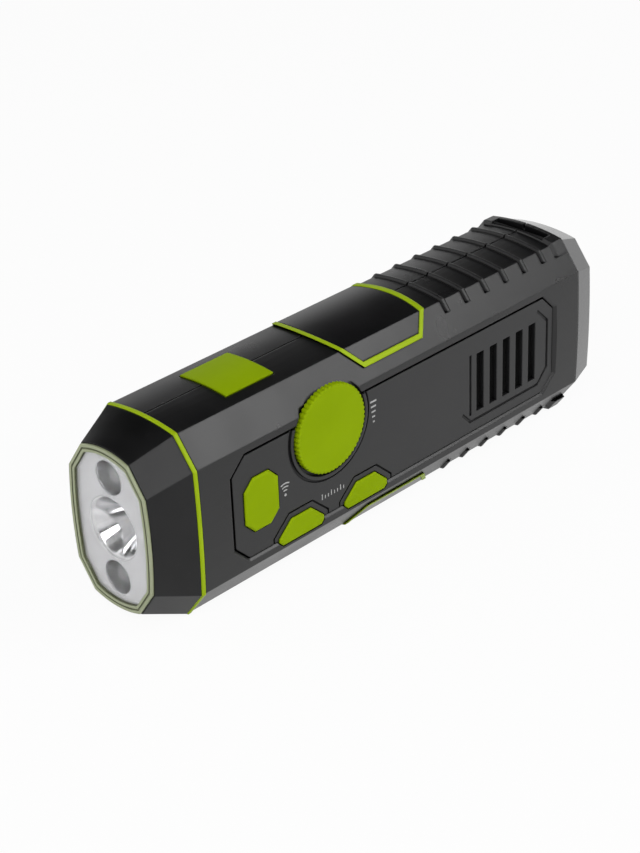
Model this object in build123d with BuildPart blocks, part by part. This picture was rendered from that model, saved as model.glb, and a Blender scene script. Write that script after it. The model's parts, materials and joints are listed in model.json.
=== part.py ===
from build123d import *
import os
from math import acos, cos, hypot, pi, radians, sin, sqrt, tan

# Hand crank flashlight with radio and siren. Millimetres, +X from the lens to the tail,
# -Y towards the control side, +Z up. The origin is under the middle of the flat bottom panel.

os.makedirs("parts", exist_ok=True)

# ---------------------------------------------------------------- housing section
top_half_width = 12.1  # half width of the top and bottom faces
top_half_height = 25.9
side_half_width = 18.3
side_half_height = 17.7  # half height of the two side faces
top_crown = 1.2  # rise of the curved top and bottom faces
side_crown = 0.45
wall = 2.0
ground_gap = 0.2  # body crown above the surface that it lies on
mid_z = top_half_height + top_crown + ground_gap

lens_x = -85.0  # the lens rim, the front end
lens_half_width = 8.6
lens_half_height = 21.25
lens_side_half_width = 13.95
lens_side_half_height = 13.6
lens_top_crown = 1.5
lens_side_crown = 0.8
head_length = 12.3  # lens rim to the green ring
ring_width = 1.6
tail_length = 7.8
tail_shrink = 0.906  # size of the tail face against the body

ring_x = lens_x + head_length
body_front = ring_x + ring_width

# ---------------------------------------------------------------- layout along the body
panel_margin_front = 10.9  # green ring to the control panel
siren_margin = 3.9
siren_length = 11.9
siren_to_dial = 5.9
well_radius = 13.3
dial_to_saddle = 15.5
saddle_length = 22.5  # lower edge of the trim
saddle_to_line = 17.65  # saddle to the thin line slot beside the grille
line_to_grille = 4.1
grille_count = 5
grille_pitch = 5.62
grille_to_edge = 9.47  # last slot's middle to the panel's rear edge
panel_margin_rear = 10.7
saddle_to_rib = 12.7

panel_front_x = body_front + panel_margin_front
siren_x = panel_front_x + siren_margin + siren_length / 2
dial_x = siren_x + siren_length / 2 + siren_to_dial + well_radius
saddle_front = dial_x + dial_to_saddle  # lower front corner of the trim, in side view
saddle_rear = saddle_front + saddle_length
line_x = saddle_rear + saddle_to_line
grille_first = line_x + line_to_grille
grille_last = grille_first + (grille_count - 1) * grille_pitch
panel_rear_x = grille_last + grille_to_edge
body_rear = panel_rear_x + panel_margin_rear
tail_x = body_rear + tail_length

body_size = (
    top_half_width,
    top_half_height,
    side_half_width,
    side_half_height,
    top_crown,
    side_crown,
)
lens_size = (
    lens_half_width,
    lens_half_height,
    lens_side_half_width,
    lens_side_half_height,
    lens_top_crown,
    lens_side_crown,
)
tail_size = tuple(tail_shrink * value for value in body_size)

# ---------------------------------------------------------------- clearances
seam_groove = 0.6  # width of the dark line where the shells meet
seam_depth = 0.4
panel_gap = 0.35  # seen gap round a fitted cover
button_gap = 0.25  # seen gap round a key
running = 0.05  # radial clearance of a shaft in its bore
overcut = 1.0  # how far a cutting shape runs past the face that it cuts


def inset_size(size, inset, side_bulge=None):
    # Octagon with every edge moved inwards by the inset, its crowns kept
    top_w, top_h, side_w, side_h, crown, bulge = size
    rise = top_h - side_h
    run = side_w - top_w
    reach = (rise * top_w + run * top_h) / hypot(rise, run) - inset
    new_h = top_h - inset
    new_w = side_w - inset
    new_top_w = (reach * hypot(rise, run) - run * new_h) / rise
    new_side_h = (reach * hypot(rise, run) - rise * new_w) / run
    return (new_top_w, new_h, new_w, new_side_h, crown, bulge if side_bulge is None else side_bulge)


def octagon(size):
    # Face of the section: top and bottom arcs, four flat chamfers, two side arcs or lines
    top_w, top_h, side_w, side_h, crown, bulge = size
    with BuildSketch() as outline:
        with BuildLine():
            ThreePointArc((top_w, top_h), (0, top_h + crown), (-top_w, top_h))
            Line((-top_w, top_h), (-side_w, side_h))
            if bulge:
                ThreePointArc((-side_w, side_h), (-side_w - bulge, 0), (-side_w, -side_h))
            else:
                Line((-side_w, side_h), (-side_w, -side_h))
            Line((-side_w, -side_h), (-top_w, -top_h))
            ThreePointArc((-top_w, -top_h), (0, -top_h - crown), (top_w, -top_h))
            Line((top_w, -top_h), (side_w, -side_h))
            if bulge:
                ThreePointArc((side_w, -side_h), (side_w + bulge, 0), (side_w, side_h))
            else:
                Line((side_w, -side_h), (side_w, side_h))
            Line((side_w, side_h), (top_w, top_h))
        make_face()
    return outline.sketch


def section_plane(x):
    return Plane(origin=(x, 0, mid_z), x_dir=(0, 1, 0), z_dir=(1, 0, 0))


def side_plane(y):
    # Local x is the body's length, local y its height, and the normal is -Y
    return Plane(origin=(0, y, mid_z), x_dir=(1, 0, 0), z_dir=(0, -1, 0))


def level_plane(height):
    return Plane.XY.offset(mid_z + height)


def bar(size, x_start, x_end):
    with BuildPart() as block:
        with BuildSketch(section_plane(x_start)):
            add(octagon(size))
        extrude(amount=x_end - x_start)
    return block.part


def tapered(*sections):
    # Straight-sided body through (x, size) sections
    with BuildPart() as block:
        for x, size in sections:
            with BuildSketch(section_plane(x)):
                add(octagon(size))
        loft(ruled=True)
    return block.part


def across(sketch, y_low, y_high):
    # Prism through the body's width from a side view outline
    with BuildPart() as block:
        with BuildSketch(side_plane(y_high)):
            add(sketch)
        extrude(amount=y_high - y_low)
    return block.part


def disc(x, z, radius):
    with BuildSketch() as outline:
        with Locations((x, z)):
            Circle(radius)
    return outline.sketch


def polygon(*points):
    with BuildSketch() as outline:
        with BuildLine():
            Polyline(*points, close=True)
        make_face()
    return outline.sketch


def chamfered_rectangle(x_low, x_high, z_low, z_high, cut):
    with BuildSketch() as outline:
        with Locations(((x_low + x_high) / 2, (z_low + z_high) / 2)):
            Rectangle(x_high - x_low, z_high - z_low)
        chamfer(outline.vertices(), cut)
    return outline.sketch


def grown(sketch, amount):
    with BuildSketch() as outline:
        add(sketch)
        offset(amount=amount, kind=Kind.INTERSECTION)
    return outline.sketch


def keep_above(part, height):
    # The part of a solid above a height over the housing's middle, or below for a negative one
    side = Keep.TOP if height > 0 else Keep.BOTTOM
    return split(part, bisect_by=level_plane(height), keep=side)


def finish(part, name):
    part.label = name
    export_step(part, f"parts/{name}.step")


cavity_size = inset_size(body_size, wall, side_bulge=0)
spigot_wall = 1.6
spigot_size = inset_size(body_size, wall + spigot_wall, side_bulge=0)
inner_side = side_half_width - wall

# ---------------------------------------------------------------- grip ribs and tail ridge
rib_first = saddle_rear + saddle_to_rib
rib_pitch = 8.25
rib_width = 1.5
rib_crest = 0.7
rib_height = 0.6
rib_reach = 23.4  # how far down the chamfers the ribs run, from the middle
trough_width = 2.2  # sunk strip that each rib stands in
trough_depth = 0.3
trough_reach = 23.0
ridge_length = 5.7
ridge_front = body_rear - ridge_length
rib_count = int((ridge_front - rib_width - rib_first) / rib_pitch) + 1
ridge_height = 1.0
ridge_flank = 0.8
slot_to_tail = 3.6
slot_x = body_rear - slot_to_tail
slot_width = 3.2
slot_length = 19.0
slot_depth = 4.4
strap_pin_radius = 0.8
strap_pin_cover = 0.1


def band(x_start, x_end, flank, height, sunk=0.0):
    # Raised belt round the whole section, with sloping flanks
    base = inset_size(body_size, sunk)
    crest = inset_size(body_size, -height)
    belt = tapered((x_start, base), (x_start + flank, crest), (x_end - flank, crest), (x_end, base))
    return belt


with BuildPart() as grip:
    for index in range(rib_count):
        centre = rib_first + index * rib_pitch
        rib_flank = (rib_width - rib_crest) / 2
        add(band(centre - rib_width / 2, centre + rib_width / 2, rib_flank, rib_height, trough_depth))
    add(band(ridge_front, body_rear, ridge_flank, ridge_height))
grip_top = keep_above(grip.part, rib_reach)
grip_bottom = keep_above(grip.part, -rib_reach)

with BuildPart() as troughs:
    for index in range(rib_count):
        centre = rib_first + index * rib_pitch
        add(bar(inset_size(body_size, -overcut), centre - trough_width / 2, centre + trough_width / 2))
    add(bar(inset_size(body_size, trough_depth), rib_first - rib_pitch, body_rear), mode=Mode.SUBTRACT)
trough_top = keep_above(troughs.part, trough_reach)
trough_bottom = keep_above(troughs.part, -trough_reach)

# ---------------------------------------------------------------- saddle panels and their trim
saddle_drop = 5.0  # how far the trim reaches down from the top face's edge
saddle_floor = top_half_height - saddle_drop
saddle_lean = 0.94  # how far its ends spread for each millimetre upwards
trim_width = 1.1
saddle_depth = 0.9  # how deep the saddle sits in the shells
trim_proud = 0.5
cover_proud = 0.3


def saddle_outline(inset, side):
    # Side view trapezoid, open upwards past the crown; side is 1 for the top and -1 for the bottom
    low = saddle_floor + inset
    high = top_half_height + top_crown + overcut * 2
    shift = inset * (sqrt(1 + saddle_lean**2) - saddle_lean)
    front = saddle_front + shift
    rear = saddle_rear - shift
    spread = saddle_lean * (high - low)
    return polygon(
        (front, side * low),
        (rear, side * low),
        (rear + spread, side * high),
        (front - spread, side * high),
    )


def saddle_block(inset, side):
    reach = side_half_width + side_crown + overcut
    return across(saddle_outline(inset, side), -reach, reach)


saddle_bed = inset_size(body_size, saddle_depth)
saddle_spread = saddle_lean * (saddle_drop + top_crown + 2 * overcut) + overcut
saddle_start = saddle_front - saddle_spread
saddle_end = saddle_rear + saddle_spread


def saddle_recess(side):
    with BuildPart() as recess:
        add(saddle_block(0, side))
        add(bar(saddle_bed, saddle_start - overcut, saddle_end + overcut), mode=Mode.SUBTRACT)
    return recess.part


def saddle_pieces(side, name):
    with BuildPart() as trim:
        add(bar(inset_size(body_size, -trim_proud), saddle_start, saddle_end))
        add(saddle_block(0, side), mode=Mode.INTERSECT)
        add(saddle_block(trim_width, side), mode=Mode.SUBTRACT)
        add(bar(saddle_bed, saddle_start, saddle_end), mode=Mode.SUBTRACT)
    with BuildPart() as cover:
        add(bar(inset_size(body_size, -cover_proud), saddle_start, saddle_end))
        add(saddle_block(trim_width, side), mode=Mode.INTERSECT)
        add(bar(saddle_bed, saddle_start, saddle_end), mode=Mode.SUBTRACT)
    for piece, kind in ((trim.part, "trim"), (cover.part, "panel")):
        if side < 0:
            piece = split(piece, bisect_by=Plane.XY, keep=Keep.TOP)
        finish(piece, f"{name}_{kind}")


saddle_pieces(1, "top")
saddle_pieces(-1, "bottom")

# ---------------------------------------------------------------- torch button on the top
torch_margin = 8.7  # panel's front edge to the button's front edge
torch_length = 16.5
torch_x = panel_front_x + torch_margin + torch_length / 2
torch_width = 16.8
torch_proud = 0.4
torch_flange = 1.2
torch_flange_height = 1.0
torch_flange_gap = 0.2
torch_flange_top = top_half_height - wall - torch_flange_gap
torch_stem_height = 0.8
torch_stem_radius = 2.0
travel = 0.6  # of every key
key_slack = 0.1  # between a key at the end of its travel and its switch
switch_base = 6.0  # square body of every key switch
plunger_radius = 1.6
plunger_height = 0.7
torch_switch_body = 3.5
torch_stem_end = torch_flange_top - torch_flange_height - torch_stem_height
torch_plunger_top = torch_stem_end - travel - key_slack

with BuildPart() as torch_button:
    add(bar(inset_size(body_size, -torch_proud), torch_x - torch_length / 2, torch_x + torch_length / 2))
    with BuildSketch(level_plane(torch_flange_top)):
        with Locations((torch_x, 0)):
            Rectangle(torch_length, torch_width)
    extrude(amount=top_half_height, mode=Mode.INTERSECT)
    with BuildSketch(level_plane(torch_flange_top)):
        with Locations((torch_x, 0)):
            Rectangle(torch_length + 2 * torch_flange, torch_width + 2 * torch_flange)
    extrude(amount=-torch_flange_height)
    with BuildSketch(level_plane(torch_flange_top)):
        with Locations((torch_x, 0)):
            Circle(torch_stem_radius)
    extrude(amount=torch_stem_end - torch_flange_top)
finish(torch_button.part, "torch_button")

# ---------------------------------------------------------------- both shells in one
screw_inset = 5.4  # from the ends of the shells
screw_front_x = body_front + screw_inset
screw_rear_x = body_rear - screw_inset
screw_z = 12.0
screw_places = [(x, z) for x in (screw_front_x, screw_rear_x) for z in (-screw_z, screw_z)]
screw_radius = 1.3
screw_hole_radius = screw_radius + 0.15
screw_head_radius = 2.6
screw_head_gap = 0.2
screw_head_height = 1.7
screw_head_floor = 11.5  # where the heads seat, from the seam
screw_reach = 9.0  # how far the screws run into the control shell
cross_width = 0.6  # of the drive recess in every small screw
cross_length = 2.8
cross_depth = 0.7
boss_radius = 3.4

with BuildPart() as slot_floor:
    add(bar(body_size, slot_x - slot_width / 2 - wall, body_rear))
    with BuildSketch(level_plane(top_half_height + top_crown - slot_depth - wall)):
        with Locations((slot_x, 0)):
            Rectangle(4 * slot_width, slot_length + 2 * wall)
    extrude(amount=slot_depth + wall, mode=Mode.INTERSECT)
pin_height = top_half_height + ridge_height - strap_pin_radius - strap_pin_cover

with BuildPart() as housing:
    add(bar(body_size, body_front, body_rear))
    add(trough_top, mode=Mode.SUBTRACT)
    add(trough_bottom, mode=Mode.SUBTRACT)
    add(grip_top)
    add(grip_bottom)
    add(bar(cavity_size, body_front - overcut, body_rear + overcut), mode=Mode.SUBTRACT)
    add(slot_floor.part)
    with Locations([(x, 0, mid_z + z) for x, z in screw_places]):
        Cylinder(boss_radius, 2 * inner_side, rotation=(90, 0, 0))
    for side in (1, -1):
        add(saddle_recess(side), mode=Mode.SUBTRACT)
    # torch button window
    with BuildSketch(level_plane(torch_flange_top)):
        with Locations((torch_x, 0)):
            Rectangle(torch_length + 2 * button_gap, torch_width + 2 * button_gap)
    extrude(amount=top_half_height, mode=Mode.SUBTRACT)
    # strap slot with its pin's bed
    with BuildSketch(level_plane(top_half_height + top_crown - slot_depth)):
        with Locations((slot_x, 0)):
            Rectangle(slot_width, slot_length)
    extrude(amount=2 * slot_depth, mode=Mode.SUBTRACT)
    with Locations((slot_x, 0, mid_z + pin_height)):
        Cylinder(strap_pin_radius, slot_length + wall, rotation=(90, 0, 0), mode=Mode.SUBTRACT)
    # seam line along the top and the bottom
    for side in (1, -1):
        with Locations((0, 0, mid_z + side * (top_half_height + top_crown - seam_depth + overcut))):
            Box(tail_x - lens_x, seam_groove, 2 * overcut, mode=Mode.SUBTRACT)
    # flat feet where the ribs and the ridge meet the ground
    split(bisect_by=Plane.XY, keep=Keep.TOP)

with BuildPart() as strap_pin:
    with Locations((slot_x, 0, mid_z + pin_height)):
        Cylinder(strap_pin_radius, slot_length + wall, rotation=(90, 0, 0))
finish(strap_pin.part, "strap_pin")

# ---------------------------------------------------------------- control panel outline
panel_side_margin = 2.5  # panel's long edges to the side face's edges
panel_half_height = side_half_height - panel_side_margin
panel_corner = 4.8
panel_sunk = 0.25
panel_face = side_half_width - panel_sunk  # its outer face, from the seam
panel_sheet = wall - panel_sunk
panel_flange = 1.2
panel_flange_width = 4.2  # the flange's whole width, with what lies behind the panel
panel_flange_depth = 1.2
panel_back = panel_face - panel_sheet
flange_back = panel_back - panel_flange_depth

bevel_depth = 0.6  # of the opening's sloping edge
bevel_floor = side_half_width - bevel_depth
bevel_reach = 1.0

panel_opening = chamfered_rectangle(
    panel_front_x, panel_rear_x, -panel_half_height, panel_half_height, panel_corner
)
bevel_outline = grown(panel_opening, bevel_reach)
panel_outline = grown(panel_opening, -panel_gap)
flange_outline = grown(panel_opening, panel_flange)
flange_window = grown(panel_opening, panel_flange - panel_flange_width)

# ---------------------------------------------------------------- volume dial sizes
dial_z = 10.1
dial_gap = 0.9
dial_radius = well_radius - dial_gap
dial_proud = 0.8
dial_face = side_half_width + dial_proud
dial_thickness = 1.9
dial_back = dial_face - dial_thickness
dial_edge = 0.3
dial_flutes = 44
flute_radius = 0.55
dial_shaft_radius = 3.0
dial_under_gap = 0.3
well_floor = dial_back - dial_under_gap
collar_width = 0.9
collar_radius = well_radius + collar_width
collar_proud = 0.3
groove_width = 0.8
groove_radius = collar_radius + groove_width
groove_depth = 0.45
well_floor_thickness = 1.8
well_backing = well_floor - well_floor_thickness  # inner face of the thickened floor

with BuildPart() as well_pad:
    add(across(disc(dial_x, dial_z, groove_radius), -side_half_width, -well_backing + overcut))
    split(bisect_by=level_plane(panel_half_height + panel_flange), keep=Keep.TOP)
    add(bar(body_size, dial_x - 2 * groove_radius, dial_x + 2 * groove_radius), mode=Mode.INTERSECT)

# ---------------------------------------------------------------- tuning keys' outline
tune_drop = 1.6  # how far the tuning keys hang over the panel's lower edge
tune_height = 6.6
tune_slope = 4.2  # height of the sloping sides, under the top edge
tune_side = 1.2  # height of the upright sides below them
tune_bottom = -panel_half_height - tune_drop
tune_top = tune_bottom + tune_height
tune_half_bottom = 7.0
tune_half_side = 8.2
tune_half_top = 3.6
tune_down_x = dial_x - 11.5
tune_up_x = dial_x + 12.8


def tune_outline(x):
    # Wide bottom edge with cut corners, upright sides, then slopes up to the short top edge
    shoulder = tune_top - tune_slope
    return polygon(
        (x - tune_half_bottom, tune_bottom),
        (x + tune_half_bottom, tune_bottom),
        (x + tune_half_side, shoulder - tune_side),
        (x + tune_half_side, shoulder),
        (x + tune_half_top, tune_top),
        (x - tune_half_top, tune_top),
        (x - tune_half_side, shoulder),
        (x - tune_half_side, shoulder - tune_side),
    )


# ---------------------------------------------------------------- control shell
with BuildPart() as control_shell:
    add(housing.part)
    split(bisect_by=Plane.XZ, keep=Keep.TOP)
    # thickened floor of the dial's well above the panel
    add(well_pad.part)
    add(across(disc(dial_x, dial_z, well_radius), -2 * side_half_width, -well_floor), mode=Mode.SUBTRACT)
    add(across(panel_opening, -2 * side_half_width, -inner_side + panel_gap), mode=Mode.SUBTRACT)
    # sloping edge round the opening
    for y, outline in ((bevel_floor, panel_opening), (bevel_floor + bevel_reach, bevel_outline)):
        with BuildSketch(side_plane(-y)):
            add(outline)
    loft(ruled=True, mode=Mode.SUBTRACT)
    # notches of the tuning keys, which hang over the panel's lower edge
    for x in (tune_down_x, tune_up_x):
        notch = grown(tune_outline(x), button_gap)
        add(across(notch, -2 * side_half_width, -inner_side + panel_gap), mode=Mode.SUBTRACT)
    with BuildSketch(side_plane(0)):
        for x, z in screw_places:
            with Locations((x, z)):
                Circle(screw_radius)
    extrude(amount=screw_reach, mode=Mode.SUBTRACT)
finish(control_shell.part, "control_shell")

# ---------------------------------------------------------------- crank and gear train sizes
hub_x = dial_x + 13.2
shaft_radius = 2.5
gear_module_first = 0.6
gear_module_fine = 0.5
crank_teeth = 45
second_pinion_teeth = 12
second_teeth = 40
third_pinion_teeth = 12
third_teeth = 32
rotor_teeth = 10
pressure_angle = radians(20)
addendum = 0.8
dedendum = 1.0
backlash = 0.1
flank_bend = 0.1  # where a flank's two straight parts meet, below the pitch circle

second_x = hub_x + gear_module_first * (crank_teeth + second_pinion_teeth) / 2
third_x = second_x + gear_module_fine * (second_teeth + third_pinion_teeth) / 2
rotor_x = third_x + gear_module_fine * (third_teeth + rotor_teeth) / 2

# the train is stacked inwards from the crank shell's wall
gear_gap = 0.4  # between moving faces
gear_step = 0.7  # between the faces of wheels that pass each other
crank_gear_face = 2.4
second_face = 2.0
third_face = 1.8
plate_thickness = 1.2
bush_flange_thickness = 0.9
inner_boss_height = 2.8
bush_flange_high = inner_side - inner_boss_height
bush_flange_low = bush_flange_high - bush_flange_thickness
crank_gear_high = bush_flange_low - gear_gap
crank_gear_low = crank_gear_high - crank_gear_face
second_pinion_high = crank_gear_high + gear_gap
second_high = crank_gear_low - gear_gap - 2 * gear_gap
second_low = second_high - second_face
third_low = second_high + gear_step
third_high = third_low + third_face
rotor_pinion_low = third_low - gear_gap
rotor_pinion_high = third_high + gear_gap
plate_high = second_low - gear_gap  # gearbox plate, outer and inner face
plate_low = plate_high - plate_thickness
third_pinion_low = plate_high + gear_gap

axle_radius = 0.8
axle_seat = 1.2
axle_boss_low = second_pinion_high + gear_gap
axle_reach = axle_boss_low + axle_seat
axle_boss_radius = 2.4

bush_wall = 1.5
bush_radius = shaft_radius + bush_wall
bush_flange_radius = bush_radius + 1.4
boss_wall = 2.4
hub_boss_radius = 8.0
hub_boss_proud = 0.45
hub_boss_face = side_half_width + side_crown + hub_boss_proud
inner_boss_radius = bush_radius + boss_wall

arm_gap = 0.4
arm_thickness = 5.6
arm_low = hub_boss_face + arm_gap
arm_high = arm_low + arm_thickness
arm_length = 52.0
arm_hub_radius = 9.0
arm_half_width = 7.0
hinge_x = hub_x + arm_length
knob_height = 3.6  # its axis above the arm's inner face
knob_y = arm_low + knob_height
knob_radius = 3.9
knob_length = 28.6
knob_bore = 1.7
window_gap = 0.4
window_half_width = knob_radius + window_gap
window_front = hub_x + 10.5
window_rear = hinge_x + 4.0
rest_recess = 0.5
rest_margin = 1.6

case_radius = 12.0  # the generator's case
post_radius = 2.5
post_z = 11.5
post_screw_radius = 1.0
post_screw_head = 2.0
post_screw_head_height = 1.3
post_screw_reach = 6.0
post_front_x = hub_x - 13.0
post_rear_x = rotor_x + case_radius - 2.6
post_places = [(x, z) for x in (post_front_x, post_rear_x) for z in (post_z, -post_z)]


def arm_outline(margin):
    # Round hub, straight rails and round tip
    with BuildSketch() as outline:
        with Locations((hub_x, 0)):
            Circle(arm_hub_radius + margin)
        with Locations((hinge_x, 0)):
            Circle(arm_half_width + margin)
        with Locations(((hub_x + hinge_x) / 2, 0)):
            Rectangle(arm_length, 2 * (arm_half_width + margin))
    return outline.sketch


board_thickness = 1.2
shelf_top = torch_plunger_top - plunger_height - torch_switch_body - board_thickness
shelf_thickness = 1.6
shelf_edge = 4.0  # the shelf's free edge, from the seam

# ---------------------------------------------------------------- crank shell
with BuildPart() as crank_shell:
    add(housing.part)
    split(bisect_by=Plane.XZ, keep=Keep.BOTTOM)
    # shallow bed where the crank parks
    add(
        across(arm_outline(rest_margin), side_half_width - rest_recess, 2 * side_half_width),
        mode=Mode.SUBTRACT,
    )
    add(across(disc(hub_x, 0, hub_boss_radius), inner_side, hub_boss_face))
    add(across(disc(hub_x, 0, inner_boss_radius), bush_flange_high, inner_side + overcut))
    add(across(disc(hub_x, 0, bush_radius), bush_flange_high - overcut, arm_low), mode=Mode.SUBTRACT)
    for x in (second_x, third_x):
        add(across(disc(x, 0, axle_boss_radius), axle_boss_low, inner_side + overcut))
        add(across(disc(x, 0, axle_radius), axle_boss_low - overcut, axle_reach), mode=Mode.SUBTRACT)
    for x, z in post_places:
        add(across(disc(x, z, post_radius), plate_high, inner_side + overcut))
        pilot = across(disc(x, z, post_screw_radius), plate_high - overcut, plate_high + post_screw_reach)
        add(pilot, mode=Mode.SUBTRACT)
    for x, z in screw_places:
        add(across(disc(x, z, screw_hole_radius), -overcut, side_half_width), mode=Mode.SUBTRACT)
        head_room = disc(x, z, screw_head_radius + screw_head_gap)
        add(across(head_room, screw_head_floor, 2 * side_half_width), mode=Mode.SUBTRACT)
    # shelf that carries the torch switch's board
    with Locations((torch_x, (shelf_edge + inner_side) / 2, mid_z + shelf_top - shelf_thickness / 2)):
        Box(torch_length, inner_side - shelf_edge, shelf_thickness)
finish(crank_shell.part, "crank_shell")

# ---------------------------------------------------------------- shell screws
with BuildPart() as shell_screws:
    for x, z in screw_places:
        add(across(disc(x, z, screw_head_radius), screw_head_floor, screw_head_floor + screw_head_height))
        add(across(disc(x, z, screw_radius), -screw_reach, screw_head_floor))
        with Locations((x, screw_head_floor + screw_head_height, mid_z + z)):
            Box(cross_length, 2 * cross_depth, cross_width, mode=Mode.SUBTRACT)
            Box(cross_width, 2 * cross_depth, cross_length, mode=Mode.SUBTRACT)
finish(shell_screws.part, "shell_screws")

# ---------------------------------------------------------------- green ring and head
spigot_length = 2.0
spigot_end = body_front + spigot_length
lap = 0.1  # overlap that joins two blocks of one moulding
ring_proud = 0.3
ring_groove = 0.25
ring_flank = 0.35
with BuildPart() as front_trim_ring:
    add(band(ring_x, body_front, ring_flank, ring_proud, sunk=ring_groove))
    add(bar(cavity_size, ring_x - overcut, body_front + overcut), mode=Mode.SUBTRACT)
    split(bisect_by=Plane.XY, keep=Keep.TOP)
finish(front_trim_ring.part, "front_trim_ring")

seal_flange = 0.7  # thickness of the seal's visible rim
seal_depth = 1.8
seal_width = 1.9
seal_seat = 0.9
seal_line_inset = 0.75  # fine groove round the seal's face
seal_line_width = 0.5
seal_line_depth = 0.4
ledge_inset = 2.8
seat_x = lens_x + seal_depth
rim_x = lens_x + seal_flange
seal_inner = inset_size(lens_size, seal_width)
seat_size = inset_size(lens_size, seal_seat)

with BuildPart() as head_bezel:
    add(tapered((lens_x, lens_size), (ring_x, body_size)))
    split(bisect_by=Plane.YZ.offset(rim_x), keep=Keep.TOP)
    add(bar(cavity_size, ring_x - wall, spigot_end))
    add(bar(seat_size, lens_x - overcut, seat_x), mode=Mode.SUBTRACT)
    inside = tapered((seat_x - lap, inset_size(lens_size, ledge_inset)), (ring_x, spigot_size))
    add(inside, mode=Mode.SUBTRACT)
    add(bar(spigot_size, ring_x - lap, spigot_end + overcut), mode=Mode.SUBTRACT)
finish(head_bezel.part, "head_bezel")

with BuildPart() as seal_line:
    add(bar(inset_size(lens_size, seal_line_inset), lens_x - overcut, lens_x + seal_line_depth))
    inner_line = inset_size(lens_size, seal_line_inset + seal_line_width)
    add(bar(inner_line, lens_x - 2 * overcut, lens_x + seal_line_depth), mode=Mode.SUBTRACT)

with BuildPart() as lens_seal:
    add(bar(lens_size, lens_x, rim_x))
    add(bar(seat_size, rim_x - lap, seat_x))
    add(bar(seal_inner, lens_x - overcut, seat_x + overcut), mode=Mode.SUBTRACT)
    add(seal_line.part, mode=Mode.SUBTRACT)
finish(lens_seal.part, "lens_seal")

lens_thickness = 0.9
reflector_plate = 0.8
plate_front = seat_x - reflector_plate
with BuildPart() as front_lens:
    add(bar(seal_inner, plate_front - lens_thickness, plate_front))
finish(front_lens.part, "front_lens")

# ---------------------------------------------------------------- reflector, LEDs and their board
main_cup_radius = 8.8
side_cup_radius = 4.8
side_cup_z = 14.4
cup_wall = 0.8
main_cup_throat = 3.2
side_cup_throat = 2.9
board_front_x = ring_x + 0.5  # front face of the LED board
led_board_thickness = 1.4
side_cup_depth = 6.5
main_cup_depth = board_front_x - plate_front


cup_bend_depth = 0.6  # where the bowl's curve passes, as shares of its depth and of its radii
cup_bend_radius = 0.36


def cup(radius, throat, depth, z, grow):
    # Bowl that opens forwards, with a curved wall
    start = plate_front
    bend = cup_bend_radius * radius + (1 - cup_bend_radius) * throat
    with BuildPart() as bowl:
        with BuildSketch(Plane(origin=(0, 0, mid_z + z), x_dir=(1, 0, 0), z_dir=(0, -1, 0))):
            with BuildLine():
                Line((start, 0), (start, radius + grow))
                ThreePointArc(
                    (start, radius + grow),
                    (start + cup_bend_depth * depth, bend + grow),
                    (start + depth, throat + grow),
                )
                Line((start + depth, throat + grow), (start + depth, 0))
                Line((start + depth, 0), (start, 0))
            make_face()
        revolve(axis=Axis((0, 0, mid_z + z), (1, 0, 0)))
    return bowl.part


cups = [
    (main_cup_radius, main_cup_throat, main_cup_depth, 0),
    (side_cup_radius, side_cup_throat, side_cup_depth, side_cup_z),
    (side_cup_radius, side_cup_throat, side_cup_depth, -side_cup_z),
]
with BuildPart() as reflector:
    add(bar(seal_inner, plate_front, seat_x))
    for radius, throat, depth, z in cups:
        add(cup(radius, throat, depth, z, cup_wall))
    for radius, throat, depth, z in cups:
        add(cup(radius, throat, depth, z, 0), mode=Mode.SUBTRACT)
finish(reflector.part, "reflector")

with BuildPart() as led_board:
    add(bar(spigot_size, board_front_x, board_front_x + led_board_thickness))
finish(led_board.part, "led_board")

led_radius = 2.5
led_rim = 0.3  # the flange's step round the barrel
led_rim_height = 1.0
led_sink = 0.4  # how far the barrels' ends stand past the bowls' throats
dome_angles = (0, radians(40), radians(80))  # start, middle and end of the domed tip


def led(z, barrel_length):
    # Flange on the board, round barrel and domed tip, pointing to the lens
    rim = led_radius + led_rim
    dome = [(-barrel_length - led_radius * sin(angle), led_radius * cos(angle)) for angle in dome_angles]
    with BuildPart() as lamp:
        with BuildSketch(Plane(origin=(board_front_x, 0, mid_z + z), x_dir=(1, 0, 0), z_dir=(0, -1, 0))):
            with BuildLine():
                Polyline(
                    (0, 0),
                    (0, rim),
                    (-led_rim_height, rim),
                    (-led_rim_height, led_radius),
                    dome[0],
                )
                ThreePointArc(*dome)
                Polyline(dome[-1], (dome[-1][0], 0), (0, 0))
            make_face()
        revolve(axis=Axis((0, 0, mid_z + z), (1, 0, 0)))
    return lamp.part


main_led_length = 2.0
with BuildPart() as main_led:
    add(led(0, main_led_length))
finish(main_led.part, "main_led")

side_led_length = board_front_x - plate_front - side_cup_depth + led_sink
with BuildPart() as side_leds:
    for z in (side_cup_z, -side_cup_z):
        add(led(z, side_led_length))
finish(side_leds.part, "side_leds")

# ---------------------------------------------------------------- tail cap
tail_spigot_length = 3.0
tail_spigot_height = 18.0
tail_lip = 0.3
tail_face_wall = 2.0

with BuildPart() as tail_spigot:
    add(bar(cavity_size, body_rear - tail_spigot_length, body_rear + overcut))
    split(bisect_by=level_plane(tail_spigot_height), keep=Keep.BOTTOM)
    split(bisect_by=level_plane(-tail_spigot_height), keep=Keep.TOP)
    for x, z in screw_places:
        with Locations((x, 0, mid_z + z)):
            Cylinder(boss_radius + running, 3 * side_half_width, rotation=(90, 0, 0), mode=Mode.SUBTRACT)

with BuildPart() as tail_cap:
    add(
        tapered(
            (body_rear, inset_size(body_size, tail_lip)),
            (body_rear + tail_lip, body_size),
            (tail_x, tail_size),
        )
    )
    add(tail_spigot.part)
    add(bar(spigot_size, body_rear - 2 * tail_spigot_length, tail_x - tail_face_wall), mode=Mode.SUBTRACT)
finish(tail_cap.part, "tail_cap")

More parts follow.
